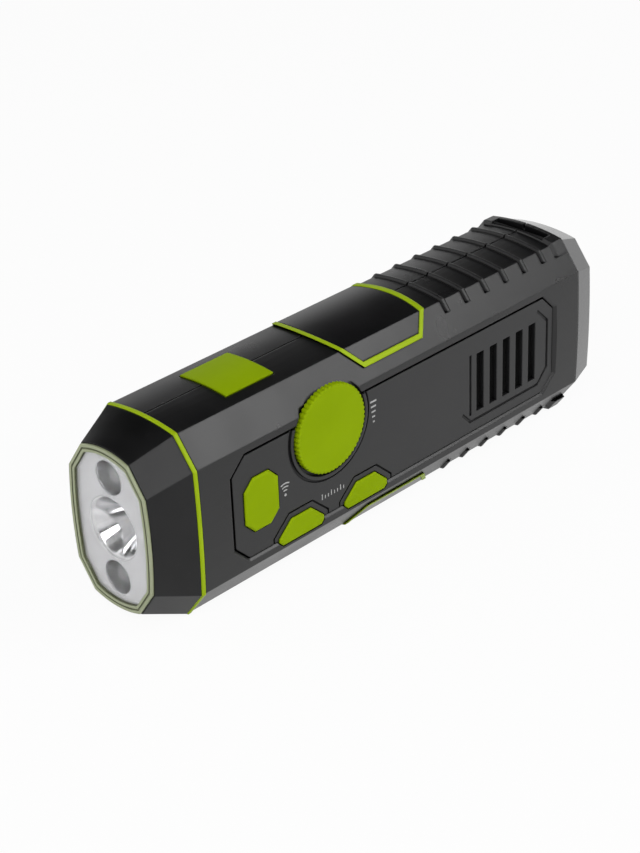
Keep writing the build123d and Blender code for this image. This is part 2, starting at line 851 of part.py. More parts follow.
# ---------------------------------------------------------------- keys on the control side
key_proud = 0.5
key_face = panel_face + key_proud
key_flange = 0.7
key_flange_thickness = 0.9
key_flange_gap = 0.2
key_flange_front = flange_back - key_flange_gap
key_flange_back = key_flange_front - key_flange_thickness
key_edge = 0.35
siren_height = 15.7
siren_z = -0.25
siren_corner = 3.2
siren_outline = chamfered_rectangle(
    siren_x - siren_length / 2,
    siren_x + siren_length / 2,
    siren_z - siren_height / 2,
    siren_z + siren_height / 2,
    siren_corner,
)
field_reach = 1.55  # key's edge to the line round its field
field_line = 0.5


def field_ring(x):
    # Fine groove that follows a tuning key's outline on the panel
    outer = grown(tune_outline(x), field_reach + field_line)
    inner = grown(tune_outline(x), field_reach)
    with BuildPart() as ring:
        add(across(outer, -panel_face - overcut, -panel_face + line_depth))
        add(across(inner, -panel_face - 2 * overcut, 0), mode=Mode.SUBTRACT)
    return ring.part


keys = {
    "siren_button": siren_outline,
    "tune_down_button": tune_outline(tune_down_x),
    "tune_up_button": tune_outline(tune_up_x),
}
for name, outline in keys.items():
    with BuildPart() as key:
        add(across(outline, -key_face, -key_flange_back))
        chamfer(key.faces().sort_by(Axis.Y)[0].edges(), key_edge)
        add(across(grown(outline, key_flange), -key_flange_front, -key_flange_back))
    finish(key.part, name)

# ---------------------------------------------------------------- speaker
grille_width = 3.1
grille_height = 18.0
grille_z = -0.3
speaker_x = (grille_first + grille_last) / 2
speaker_radius = 13.6
speaker_rim = 1.2
seat_wall = 1.2
seat_height = 1.6

# ---------------------------------------------------------------- control panel
line_width = 0.9
line_depth = 0.5
key_body = 3.0  # height of the switches on the circuit board
plunger_tip = key_flange_back - travel - key_slack
board_face = plunger_tip - plunger_height - key_body  # outer face of the circuit board
board_back = board_face - board_thickness
board_post_radius = 2.0
board_screw_radius = 0.9
board_screw_head = 1.7
board_screw_head_height = 1.1
post_inset = 3.0  # of the corner posts from the board's edges
board_front_end = panel_front_x + 1.7
board_rear_end = saddle_rear + 11.7
board_half_height = panel_half_height - panel_gap
board_corner = 2.0
edge_z = board_half_height - post_inset
board_posts = [
    (board_front_end + post_inset, edge_z),
    (board_front_end + post_inset, -edge_z),
    (dial_x + groove_radius + 2 * post_inset, edge_z),
    (dial_x, -edge_z),
    (board_rear_end - post_inset, edge_z),
    (board_rear_end - post_inset, -edge_z),
]
frame_points = [  # engraved frame round the speaker's field, open at its upper left
    (grille_last + 2.2, panel_half_height - 3.3),
    (grille_last + 6.8, panel_half_height - 7.8),
    (grille_last + 6.8, -panel_half_height + 7.8),
    (grille_last + 2.8, -panel_half_height + 3.6),
    (line_x, -panel_half_height + 3.6),
    (line_x - 3.4, -panel_half_height + 7.0),
]
line_low = -panel_half_height + 5.5
line_high = panel_half_height - 6.1


def engraved(*points):
    with BuildSketch() as groove:
        with BuildLine():
            Polyline(*points)
        trace(line_width=line_width)
    return across(groove.sketch, -panel_face - overcut, -panel_face + line_depth)


with BuildPart() as dial_seat:
    add(across(disc(dial_x, dial_z, groove_radius), -panel_face, -well_backing))
    add(across(disc(dial_x, dial_z, collar_radius), -panel_face - collar_proud, -panel_face))
    add(across(panel_outline, -2 * side_half_width, 0), mode=Mode.INTERSECT)

with BuildPart() as dial_groove:
    add(across(disc(dial_x, dial_z, groove_radius), -panel_face - overcut, -panel_face + groove_depth))
    collar = across(disc(dial_x, dial_z, collar_radius), -panel_face - 2 * overcut, -panel_back)
    add(collar, mode=Mode.SUBTRACT)

with BuildPart() as control_panel:
    add(across(panel_outline, -panel_face, -panel_back))
    add(across(flange_outline, -panel_back, -flange_back))
    add(across(flange_window, -panel_back, -flange_back), mode=Mode.SUBTRACT)
    # dial: thick floor, collar, dark groove and well
    add(dial_seat.part)
    add(dial_groove.part, mode=Mode.SUBTRACT)
    add(across(disc(dial_x, dial_z, well_radius), -2 * side_half_width, -well_floor), mode=Mode.SUBTRACT)
    shaft_hole = disc(dial_x, dial_z, dial_shaft_radius + running)
    add(across(shaft_hole, -side_half_width, -well_backing + overcut), mode=Mode.SUBTRACT)
    # speaker seat behind the grille
    seat_end = -flange_back + seat_height
    add(across(disc(speaker_x, 0, speaker_radius + seat_wall), -panel_back, seat_end))
    add(across(disc(speaker_x, 0, speaker_radius), -panel_back, seat_end + overcut), mode=Mode.SUBTRACT)
    for index in range(grille_count):
        with Locations((grille_first + index * grille_pitch, -panel_face, mid_z + grille_z)):
            Box(grille_width, 2 * (panel_sheet + panel_sunk), grille_height, mode=Mode.SUBTRACT)
    add(engraved((line_x, line_low), (line_x, line_high)), mode=Mode.SUBTRACT)
    add(engraved(*frame_points), mode=Mode.SUBTRACT)
    # windows of the keys, and the lines round the tuning keys' fields
    for x in (tune_down_x, tune_up_x):
        add(field_ring(x), mode=Mode.SUBTRACT)
    for outline in keys.values():
        window = across(grown(outline, button_gap), -side_half_width - overcut, -flange_back + overcut)
        add(window, mode=Mode.SUBTRACT)
    for x, z in board_posts:
        add(across(disc(x, z, board_post_radius), -panel_back, -board_face))
        pilot = across(disc(x, z, board_screw_radius), -flange_back, -board_face + overcut)
        add(pilot, mode=Mode.SUBTRACT)
finish(control_panel.part, "control_panel")

# ---------------------------------------------------------------- volume dial
dial_shaft_gap = 0.4  # shaft's end to the circuit board
dial_shaft_end = board_face + dial_shaft_gap
flute_sink = 0.2
with BuildPart() as volume_dial:
    add(across(disc(dial_x, dial_z, dial_radius), -dial_face, -dial_back))
    chamfer(volume_dial.faces().sort_by(Axis.Y)[0].edges(), dial_edge)
    with BuildSketch(side_plane(-dial_back)):
        with Locations((dial_x, dial_z)):
            with PolarLocations(dial_radius + flute_sink, dial_flutes):
                RegularPolygon(flute_radius, 4)
    extrude(amount=dial_thickness, mode=Mode.SUBTRACT)
    add(across(disc(dial_x, dial_z, dial_shaft_radius), -dial_back, -dial_shaft_end))
finish(volume_dial.part, "volume_dial")

# ---------------------------------------------------------------- circuit board and what is on it
tune_switch_z = -board_half_height + switch_base / 2
key_places = [(siren_x, siren_z), (tune_down_x, tune_switch_z), (tune_up_x, tune_switch_z)]
pot_half = 6.0
pot_height = 3.4
pot_drop = 2.0  # how far its body hangs below the shaft
pot_end_gap = 0.2
chip_height = 1.6
chips = [  # (x, z, length, width) of the packages on the board's back
    (dial_x - 18.8, 6.0, 9.0, 7.0),
    (dial_x - 4.8, -3.0, 7.0, 5.0),
    (dial_x + 24.0, 3.0, 10.0, 8.0),
]
can_radius = 3.1
can_height = 5.0
can_x = dial_x + 37.2
can_places = [(can_x, -6.0), (can_x, 6.0)]

with BuildPart() as circuit_board:
    add(
        across(
            chamfered_rectangle(
                board_front_end, board_rear_end, -board_half_height, board_half_height, board_corner
            ),
            -board_face,
            -board_back,
        )
    )
    for x, z in board_posts:
        hole = across(disc(x, z, board_screw_radius), -board_face - overcut, -board_back + overcut)
        add(hole, mode=Mode.SUBTRACT)
finish(circuit_board.part, "circuit_board")

with BuildPart() as board_screws:
    for x, z in board_posts:
        add(across(disc(x, z, board_screw_head), -board_back, -board_back + board_screw_head_height))
        add(across(disc(x, z, board_screw_radius), -flange_back, -board_back))
finish(board_screws.part, "board_screws")

with BuildPart() as key_switches:
    for x, z in key_places:
        with Locations((x, -board_face - key_body / 2, mid_z + z)):
            Box(switch_base, key_body, switch_base)
        add(across(disc(x, z, plunger_radius), -plunger_tip, -board_face - key_body))
finish(key_switches.part, "key_switches")

with BuildPart() as potentiometer:
    with Locations((dial_x, -board_face - pot_height / 2, mid_z + dial_z - pot_drop)):
        Box(2 * pot_half, pot_height, 2 * pot_half)
    shaft_room = across(shaft_hole, -board_face - pot_height - overcut, -dial_shaft_end + pot_end_gap)
    add(shaft_room, mode=Mode.SUBTRACT)
finish(potentiometer.part, "potentiometer")

with BuildPart() as board_chips:
    for x, z, length, width in chips:
        with Locations((x, -board_back + chip_height / 2, mid_z + z)):
            Box(length, chip_height, width)
    for x, z in can_places:
        add(across(disc(x, z, can_radius), -board_back, -board_back + can_height))
finish(board_chips.part, "board_chips")

# ---------------------------------------------------------------- loudspeaker
cone_radius = 11.5
cone_dip = 2.0
cone_cap_radius = 4.0
coil_radius = 3.0
basket_depth = 5.0
basket_sheet = 0.8
magnet_radius = 8.0
magnet_height = 3.4


def turned(x, *profile):
    # Body of revolution round an axis across the body, from (radius, y) points
    with BuildPart() as round_part:
        with BuildSketch(Plane(origin=(x, 0, mid_z), x_dir=(1, 0, 0), z_dir=(0, 0, 1))):
            with BuildLine():
                Polyline(*profile, close=True)
            make_face()
        revolve(axis=Axis((x, 0, mid_z), (0, 1, 0)))
    return round_part.part


basket_back = -panel_back + basket_depth
with BuildPart() as speaker_frame:
    add(
        turned(
            speaker_x,
            (cone_radius, -panel_back),
            (speaker_radius, -panel_back),
            (speaker_radius, -panel_back + speaker_rim),
            (magnet_radius, basket_back),
            (coil_radius, basket_back),
            (coil_radius, basket_back - basket_sheet),
            (magnet_radius - basket_sheet, basket_back - basket_sheet),
        )
    )
finish(speaker_frame.part, "speaker_frame")

with BuildPart() as speaker_cone:
    add(
        turned(
            speaker_x,
            (0, -panel_back + cone_dip),
            (cone_cap_radius, -panel_back + cone_dip),
            (cone_radius, -panel_back),
            (coil_radius, basket_back - basket_sheet),
            (0, basket_back - basket_sheet),
        )
    )
finish(speaker_cone.part, "speaker_cone")

with BuildPart() as speaker_magnet:
    add(across(disc(speaker_x, 0, magnet_radius), basket_back, basket_back + magnet_height))
finish(speaker_magnet.part, "speaker_magnet")

# ---------------------------------------------------------------- torch switch on its shelf
switch_board_length = 12.0
switch_board_width = 16.0
switch_board_y = shelf_edge - 1.0
with BuildPart() as switch_board:
    with Locations((torch_x, switch_board_y, mid_z + shelf_top + board_thickness / 2)):
        Box(switch_board_length, switch_board_width, board_thickness)
finish(switch_board.part, "switch_board")

with BuildPart() as torch_switch:
    body_low = shelf_top + board_thickness
    with Locations((torch_x, 0, mid_z + body_low + torch_switch_body / 2)):
        Box(switch_base, switch_base, torch_switch_body)
    with BuildSketch(level_plane(body_low + torch_switch_body)):
        with Locations((torch_x, 0)):
            Circle(plunger_radius)
    extrude(amount=plunger_height)
finish(torch_switch.part, "torch_switch")

# ---------------------------------------------------------------- battery
cell_radius = 7.8
cell_length = 6.0
cell_count = 3
wrap_wall = 0.2
tab_thickness = 0.2
tab_width = 5.0
tab_length = 10.0
battery_x = body_front + 15.1
battery_y = 4.5
battery_z = -8.5
cell_step = cell_length + tab_thickness
battery_axis = Plane(origin=(battery_x, battery_y, mid_z + battery_z), x_dir=(0, 1, 0), z_dir=(1, 0, 0))
stack_length = cell_step * cell_count - tab_thickness

with BuildPart() as battery_cells:
    for index in range(cell_count):
        with BuildSketch(battery_axis.offset(index * cell_step)):
            Circle(cell_radius)
        extrude(amount=cell_length)
finish(battery_cells.part, "battery_cells")

with BuildPart() as battery_wrap:
    with BuildSketch(battery_axis):
        Circle(cell_radius + wrap_wall)
        Circle(cell_radius, mode=Mode.SUBTRACT)
    extrude(amount=stack_length)
finish(battery_wrap.part, "battery_wrap")

with BuildPart() as battery_tabs:
    for place in (-tab_thickness, stack_length):
        with BuildSketch(battery_axis.offset(place)):
            Rectangle(tab_width, tab_length)
        extrude(amount=tab_thickness)
    for index in range(1, cell_count):
        with BuildSketch(battery_axis.offset(index * cell_step - tab_thickness)):
            Circle(tab_width / 2)
        extrude(amount=tab_thickness)
finish(battery_tabs.part, "battery_tabs")

cradle_length = 12.0
cradle_wall = 1.0
with BuildPart() as battery_cradle:
    with Locations((battery_x + stack_length / 2, (battery_y + inner_side) / 2, mid_z + battery_z)):
        Box(cradle_length, inner_side - battery_y, 2 * (cell_radius + wrap_wall + cradle_wall))
    with BuildSketch(battery_axis.offset(-overcut)):
        Circle(cell_radius + wrap_wall)
    extrude(amount=stack_length + 2 * overcut, mode=Mode.SUBTRACT)
    add(bar(cavity_size, battery_x - overcut, battery_x + stack_length), mode=Mode.INTERSECT)
finish(battery_cradle.part, "battery_cradle")

# ---------------------------------------------------------------- gears


def flank_angle(teeth, module, radius):
    # Half the tooth's angle at a radius, on an involute flank
    pitch_radius = module * teeth / 2
    base_radius = pitch_radius * cos(pressure_angle)
    roll = acos(min(1.0, base_radius / max(radius, base_radius)))
    involute = tan(pressure_angle) - pressure_angle - (tan(roll) - roll)
    return pi / (2 * teeth) - backlash / (2 * pitch_radius) + involute


def gear_outline(x, teeth, module, phase):
    pitch_radius = module * teeth / 2
    radii = (
        pitch_radius - dedendum * module,
        pitch_radius - flank_bend * module,
        pitch_radius + addendum * module,
    )
    points = []
    for tooth in range(teeth):
        centre = phase + 2 * pi * tooth / teeth
        flank = [(radius, flank_angle(teeth, module, radius)) for radius in radii]
        sides = [(radius, centre - angle) for radius, angle in flank]
        sides += [(radius, centre + angle) for radius, angle in reversed(flank)]
        points += [(x + radius * cos(angle), radius * sin(angle)) for radius, angle in sides]
    return polygon(*points)


def facing(teeth):
    # Phase that turns a space between two teeth towards the gear before this one
    return pi + pi / teeth


def drilled(x, radius, y_low, y_high):
    return across(disc(x, 0, radius), y_low - overcut, y_high + overcut)


web_hole_radius = 2.6
web_hole_circle = 8.0
web_hole_count = 6
with BuildPart() as crank_gear:
    add(across(gear_outline(hub_x, crank_teeth, gear_module_first, 0), crank_gear_low, crank_gear_high))
    add(drilled(hub_x, shaft_radius, crank_gear_low, crank_gear_high), mode=Mode.SUBTRACT)
    with BuildSketch(side_plane(crank_gear_high + overcut)):
        with Locations((hub_x, 0)):
            with PolarLocations(web_hole_circle, web_hole_count, start_angle=30):
                RegularPolygon(web_hole_radius, 8)
    extrude(amount=crank_gear_face + 2 * overcut, mode=Mode.SUBTRACT)
finish(crank_gear.part, "crank_gear")

with BuildPart() as second_gear:
    add(across(gear_outline(second_x, second_teeth, gear_module_fine, 0), second_low, second_high))
    add(
        across(
            gear_outline(second_x, second_pinion_teeth, gear_module_first, facing(second_pinion_teeth)),
            second_high,
            second_pinion_high,
        )
    )
    add(drilled(second_x, axle_radius + running, second_low, second_pinion_high), mode=Mode.SUBTRACT)
finish(second_gear.part, "second_gear")

with BuildPart() as third_gear:
    add(
        across(
            gear_outline(third_x, third_pinion_teeth, gear_module_fine, facing(third_pinion_teeth)),
            third_pinion_low,
            third_low,
        )
    )
    add(across(gear_outline(third_x, third_teeth, gear_module_fine, 0), third_low, third_high))
    add(drilled(third_x, axle_radius + running, third_pinion_low, third_high), mode=Mode.SUBTRACT)
finish(third_gear.part, "third_gear")

# ---------------------------------------------------------------- generator
case_depth = 10.0
case_low = plate_low - case_depth
case_wall = 0.8
case_neck = 3.0
case_neck_height = 1.2
rotor_radius = 5.6
rotor_shaft_radius = 0.75
rotor_end_gap = 1.2  # rotor body to the case's end walls
rotor_low = case_low + case_wall + rotor_end_gap
rotor_high = plate_low - case_wall - rotor_end_gap
coil_air_gap = 0.8
coil_width = 4.2
coil_inner = rotor_radius + coil_air_gap
coil_outer = coil_inner + coil_width

with BuildPart() as generator_case:
    add(across(disc(rotor_x, 0, case_radius), case_low, plate_low))
    add(across(disc(rotor_x, 0, case_neck), plate_low, plate_high + case_neck_height))
    chamber = disc(rotor_x, 0, case_radius - case_wall)
    add(across(chamber, case_low + case_wall, plate_low - case_wall), mode=Mode.SUBTRACT)
    shaft_bore = disc(rotor_x, 0, rotor_shaft_radius + running)
    add(across(shaft_bore, case_low - overcut, plate_high + 2 * case_neck_height), mode=Mode.SUBTRACT)
finish(generator_case.part, "generator_case")

with BuildPart() as generator_coil:
    add(across(disc(rotor_x, 0, coil_outer), case_low + case_wall, plate_low - case_wall))
    add(across(disc(rotor_x, 0, coil_inner), case_low, plate_low), mode=Mode.SUBTRACT)
finish(generator_coil.part, "generator_coil")

with BuildPart() as generator_rotor:
    add(across(disc(rotor_x, 0, rotor_shaft_radius), case_low, rotor_pinion_high))
    add(across(disc(rotor_x, 0, rotor_radius), rotor_low, rotor_high))
    add(
        across(
            gear_outline(rotor_x, rotor_teeth, gear_module_fine, facing(rotor_teeth)),
            rotor_pinion_low,
            rotor_pinion_high,
        )
    )
finish(generator_rotor.part, "generator_rotor")

# ---------------------------------------------------------------- gearbox plate, axles and screws
plate_margin = 1.0  # round the posts
plate_corner = 3.0
plate_front_end = post_front_x - post_radius - plate_margin
plate_rear_end = post_rear_x + post_radius + plate_margin
plate_half_height = post_z + post_radius + plate_margin
plate_outline = chamfered_rectangle(
    plate_front_end, plate_rear_end, -plate_half_height, plate_half_height, plate_corner
)
with BuildPart() as gearbox_plate:
    add(across(plate_outline, plate_low, plate_high))
    add(drilled(hub_x, shaft_radius + running, plate_low, plate_high), mode=Mode.SUBTRACT)
    add(drilled(rotor_x, case_neck, plate_low, plate_high), mode=Mode.SUBTRACT)
    for x in (second_x, third_x):
        add(drilled(x, axle_radius, plate_low, plate_high), mode=Mode.SUBTRACT)
    for x, z in post_places:
        hole = across(disc(x, z, post_screw_radius), plate_low - overcut, plate_high + overcut)
        add(hole, mode=Mode.SUBTRACT)
finish(gearbox_plate.part, "gearbox_plate")

with BuildPart() as gear_axles:
    for x in (second_x, third_x):
        add(across(disc(x, 0, axle_radius), plate_low, axle_reach))
finish(gear_axles.part, "gear_axles")

with BuildPart() as gearbox_screws:
    for x, z in post_places:
        add(across(disc(x, z, post_screw_head), plate_low - post_screw_head_height, plate_low))
        add(across(disc(x, z, post_screw_radius), plate_low, plate_high + post_screw_reach))
finish(gearbox_screws.part, "gearbox_screws")

# ---------------------------------------------------------------- crank
with BuildPart() as shaft_bush:
    add(across(disc(hub_x, 0, bush_radius), bush_flange_high, hub_boss_face))
    add(across(disc(hub_x, 0, bush_flange_radius), bush_flange_low, bush_flange_high))
    add(drilled(hub_x, shaft_radius + running, bush_flange_low, hub_boss_face), mode=Mode.SUBTRACT)
finish(shaft_bush.part, "shaft_bush")

hex_radius = 2.4
hex_gap = 0.2  # the hexagon's end to the screw's seat
crank_screw_radius = 1.1
crank_screw_head = 3.6
crank_screw_sink = 0.4
crank_screw_head_height = 1.4
crank_screw_seat = arm_high - crank_screw_sink - crank_screw_head_height
crank_screw_length = 9.4
crank_screw_end = crank_screw_seat - crank_screw_length
crank_cross_length = 4.2
crank_cross_width = 0.9
crank_cross_depth = 0.8
hex_end = crank_screw_seat - hex_gap
with BuildPart() as crank_shaft:
    add(across(disc(hub_x, 0, shaft_radius), plate_low, arm_low))
    with BuildSketch(side_plane(hex_end)):
        with Locations((hub_x, 0)):
            RegularPolygon(hex_radius, 6)
    extrude(amount=hex_end - arm_low)
    add(across(disc(hub_x, 0, crank_screw_radius), crank_screw_end, arm_high), mode=Mode.SUBTRACT)
finish(crank_shaft.part, "crank_shaft")

arm_edge = 0.8
hinge_pin_radius = 1.0
hinge_pin_inset = 0.5
with BuildPart() as crank_arm:
    add(across(arm_outline(0), arm_low, arm_high))
    chamfer(crank_arm.faces().sort_by(Axis.Y)[-1].edges(), arm_edge)
    with Locations(((window_front + window_rear) / 2, knob_y, mid_z)):
        Box(window_rear - window_front, 4 * knob_radius, 2 * window_half_width, mode=Mode.SUBTRACT)
    with BuildSketch(side_plane(hex_end)):
        with Locations((hub_x, 0)):
            RegularPolygon(hex_radius, 6)
    extrude(amount=hex_end - arm_low + overcut, mode=Mode.SUBTRACT)
    add(across(disc(hub_x, 0, crank_screw_radius), arm_low, arm_high), mode=Mode.SUBTRACT)
    screw_room = across(disc(hub_x, 0, crank_screw_head), crank_screw_seat, arm_high + overcut)
    add(screw_room, mode=Mode.SUBTRACT)
    with Locations((hinge_x, knob_y, mid_z)):
        Cylinder(hinge_pin_radius, 4 * arm_half_width, mode=Mode.SUBTRACT)
finish(crank_arm.part, "crank_arm")

with BuildPart() as crank_screw:
    add(across(disc(hub_x, 0, crank_screw_head), crank_screw_seat, arm_high - crank_screw_sink))
    add(across(disc(hub_x, 0, crank_screw_radius), crank_screw_end, crank_screw_seat))
    with Locations((hub_x, arm_high - crank_screw_sink, mid_z)):
        Box(crank_cross_length, 2 * crank_cross_depth, crank_cross_width, mode=Mode.SUBTRACT)
        Box(crank_cross_width, 2 * crank_cross_depth, crank_cross_length, mode=Mode.SUBTRACT)
finish(crank_screw.part, "crank_screw")

with BuildPart() as hinge_pin:
    with Locations((hinge_x, knob_y, mid_z)):
        Cylinder(hinge_pin_radius, 2 * (arm_half_width - hinge_pin_inset))
finish(hinge_pin.part, "hinge_pin")

# ---------------------------------------------------------------- folding knob
barrel_radius = 3.1
barrel_gap = 0.3
barrel_half = window_half_width - barrel_gap
spindle_radius = knob_bore - running
knob_hinge_gap = 0.5
knob_start = hinge_x - barrel_radius - knob_hinge_gap
knob_end = knob_start - knob_length
cap_radius = 2.8
cap_length = 1.0
cap_clearance = 0.2

with BuildPart() as knob_carrier:
    with Locations((hinge_x, knob_y, mid_z)):
        Cylinder(barrel_radius, 2 * barrel_half)
    with BuildSketch(Plane(origin=(hinge_x, knob_y, mid_z), x_dir=(0, 1, 0), z_dir=(-1, 0, 0))):
        Circle(spindle_radius)
    extrude(amount=hinge_x - knob_end)
    with BuildSketch(Plane(origin=(knob_end, knob_y, mid_z), x_dir=(0, 1, 0), z_dir=(1, 0, 0))):
        Circle(cap_radius)
    extrude(amount=cap_length)
    with Locations((hinge_x, knob_y, mid_z)):
        Cylinder(hinge_pin_radius + running, 4 * barrel_half, mode=Mode.SUBTRACT)
finish(knob_carrier.part, "knob_carrier")

knob_waist = 3.3
knob_nose = 3.4
knob_bevel = 1.0
knob_band = 4.0  # straight end of the grip
with BuildPart() as crank_knob:
    with BuildSketch(Plane(origin=(knob_start, knob_y, mid_z), x_dir=(-1, 0, 0), z_dir=(0, 1, 0))):
        with BuildLine():
            Polyline(
                (0.0, knob_bore),
                (0.0, knob_nose),
                (knob_bevel, knob_radius),
                (knob_band, knob_radius),
            )
            ThreePointArc(
                (knob_band, knob_radius),
                (knob_length / 2, knob_waist),
                (knob_length - knob_band, knob_radius),
            )
            Polyline(
                (knob_length - knob_band, knob_radius),
                (knob_length - knob_bevel, knob_radius),
                (knob_length, knob_nose),
                (knob_length, cap_radius + cap_clearance),
                (knob_length - cap_length - cap_clearance, cap_radius + cap_clearance),
                (knob_length - cap_length - cap_clearance, knob_bore),
                (0.0, knob_bore),
            )
        make_face()
    revolve(axis=Axis((0, knob_y, mid_z), (1, 0, 0)))
finish(crank_knob.part, "crank_knob")
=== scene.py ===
import json
import math
import bmesh
import bpy
from mathutils import Matrix, Vector


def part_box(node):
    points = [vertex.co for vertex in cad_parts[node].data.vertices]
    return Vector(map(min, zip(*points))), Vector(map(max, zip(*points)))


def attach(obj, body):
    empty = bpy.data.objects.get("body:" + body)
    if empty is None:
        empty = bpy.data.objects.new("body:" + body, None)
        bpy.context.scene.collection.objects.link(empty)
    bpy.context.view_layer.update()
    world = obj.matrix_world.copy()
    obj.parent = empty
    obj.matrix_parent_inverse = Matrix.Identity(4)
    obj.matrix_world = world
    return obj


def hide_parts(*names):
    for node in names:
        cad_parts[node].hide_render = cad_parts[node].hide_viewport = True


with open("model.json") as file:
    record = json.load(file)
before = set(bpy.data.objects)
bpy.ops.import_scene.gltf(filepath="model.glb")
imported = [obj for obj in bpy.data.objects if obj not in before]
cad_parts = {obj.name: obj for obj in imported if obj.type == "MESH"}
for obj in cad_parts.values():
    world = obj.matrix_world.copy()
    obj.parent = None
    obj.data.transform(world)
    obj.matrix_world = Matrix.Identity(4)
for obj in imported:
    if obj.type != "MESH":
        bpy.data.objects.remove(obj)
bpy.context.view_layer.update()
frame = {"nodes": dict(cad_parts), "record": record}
nodes = frame["nodes"]
midZ = 0.0273  # height of the body's centre line above the ground
print("frame loaded:", len(nodes), "nodes")


def newMaterial(name):
    material = bpy.data.materials.new(name)
    material.use_nodes = True
    return material, material.node_tree, material.node_tree.nodes["Principled BSDF"]


def node(tree, kind, **values):
    made = tree.nodes.new(kind)
    for key, value in values.items():
        if key in made.inputs:
            made.inputs[key].default_value = value
        else:
            setattr(made, key, value)
    return made


def objectNoise(tree, scale, detail=2.0, stretch=(1, 1, 1)):
    coords = node(tree, "ShaderNodeTexCoord")
    mapping = node(tree, "ShaderNodeMapping", Scale=stretch)
    noise = node(tree, "ShaderNodeTexNoise", Scale=scale, Detail=detail)
    tree.links.new(coords.outputs["Object"], mapping.inputs["Vector"])
    tree.links.new(mapping.outputs["Vector"], noise.inputs["Vector"])
    return noise.outputs["Fac"]


def spread(tree, source, low, high, fromLow=0.35, fromHigh=0.65):
    # Carries a value from one range into another; noise mostly lies between 0.35 and 0.65
    made = node(tree, "ShaderNodeMapRange")
    for key, value in (("From Min", fromLow), ("From Max", fromHigh), ("To Min", low), ("To Max", high)):
        made.inputs[key].default_value = value
    tree.links.new(source, made.inputs["Value"])
    return made.outputs["Result"]


def combine(tree, operation, first, second):
    made = node(tree, "ShaderNodeMath", operation=operation)
    for index, value in enumerate((first, second)):
        if isinstance(value, (int, float)):
            made.inputs[index].default_value = value
        else:
            tree.links.new(value, made.inputs[index])
    return made.outputs[0]


def mixColour(tree, factor, first, second):
    mix = node(tree, "ShaderNodeMix", data_type="RGBA")
    tree.links.new(factor, mix.inputs[0])
    for index, value in ((6, first), (7, second)):  # the colour sockets A and B
        if isinstance(value, tuple):
            mix.inputs[index].default_value = (*value, 1)
        else:
            tree.links.new(value, mix.inputs[index])
    return mix.outputs[2]


masks = {
    "bevelSamples": 4, "edgeLean": (0.80, 0.995),  # cosines between the rounded and the flat normal
    "paintedShadeSamples": 6, "paintedShadeSky": (0.30, 0.80),  # open share of the sky, from a full gap to none
    "paintedShadeFull": 0.9,  # where the painted shade has taken all the gloss from a gap
}


def edgeMask(tree, radius):
    # A rounded normal, and 1 on the edges, which are partly rubbed and partly given a painted highlight
    bevel = node(tree, "ShaderNodeBevel", samples=masks["bevelSamples"], Radius=radius)
    geometry = node(tree, "ShaderNodeNewGeometry")
    dot = node(tree, "ShaderNodeVectorMath", operation="DOT_PRODUCT")
    tree.links.new(bevel.outputs["Normal"], dot.inputs[0])
    tree.links.new(geometry.outputs["Normal"], dot.inputs[1])
    return bevel.outputs["Normal"], spread(tree, dot.outputs["Value"], 1.0, 0.0, *masks["edgeLean"])


def paintedGapShadeMask(tree, reach):
    # Painted shade: 1 deep in gaps and engraved lines, 0 on open faces, by how little of the sky they see
    shade = node(tree, "ShaderNodeAmbientOcclusion", samples=masks["paintedShadeSamples"], Distance=reach)
    return spread(tree, shade.outputs["AO"], 1.0, 0.0, *masks["paintedShadeSky"])


mouldedUsual = {
    "blotchScale": 60, "blotchDetail": 3, "grainDetail": 2, "leastWearAndHighlight": 0.4,
    "scuffScale": 700, "scuffDetail": 3, "scuffStretch": (0.12, 1, 1),
    "scuffs": 0.06, "scuffRange": (0.66, 0.74),  # strength, and the part of the noise that shows
    # Painted shade: gaps and engraved lines are darkened towards this colour
    "paintedShadeReach": 0.0009, "paintedGapShadeColour": (0.001, 0.001, 0.001),
    "specular": 0.5, "coat": 0.0, "coatRoughness": 0.1,
}


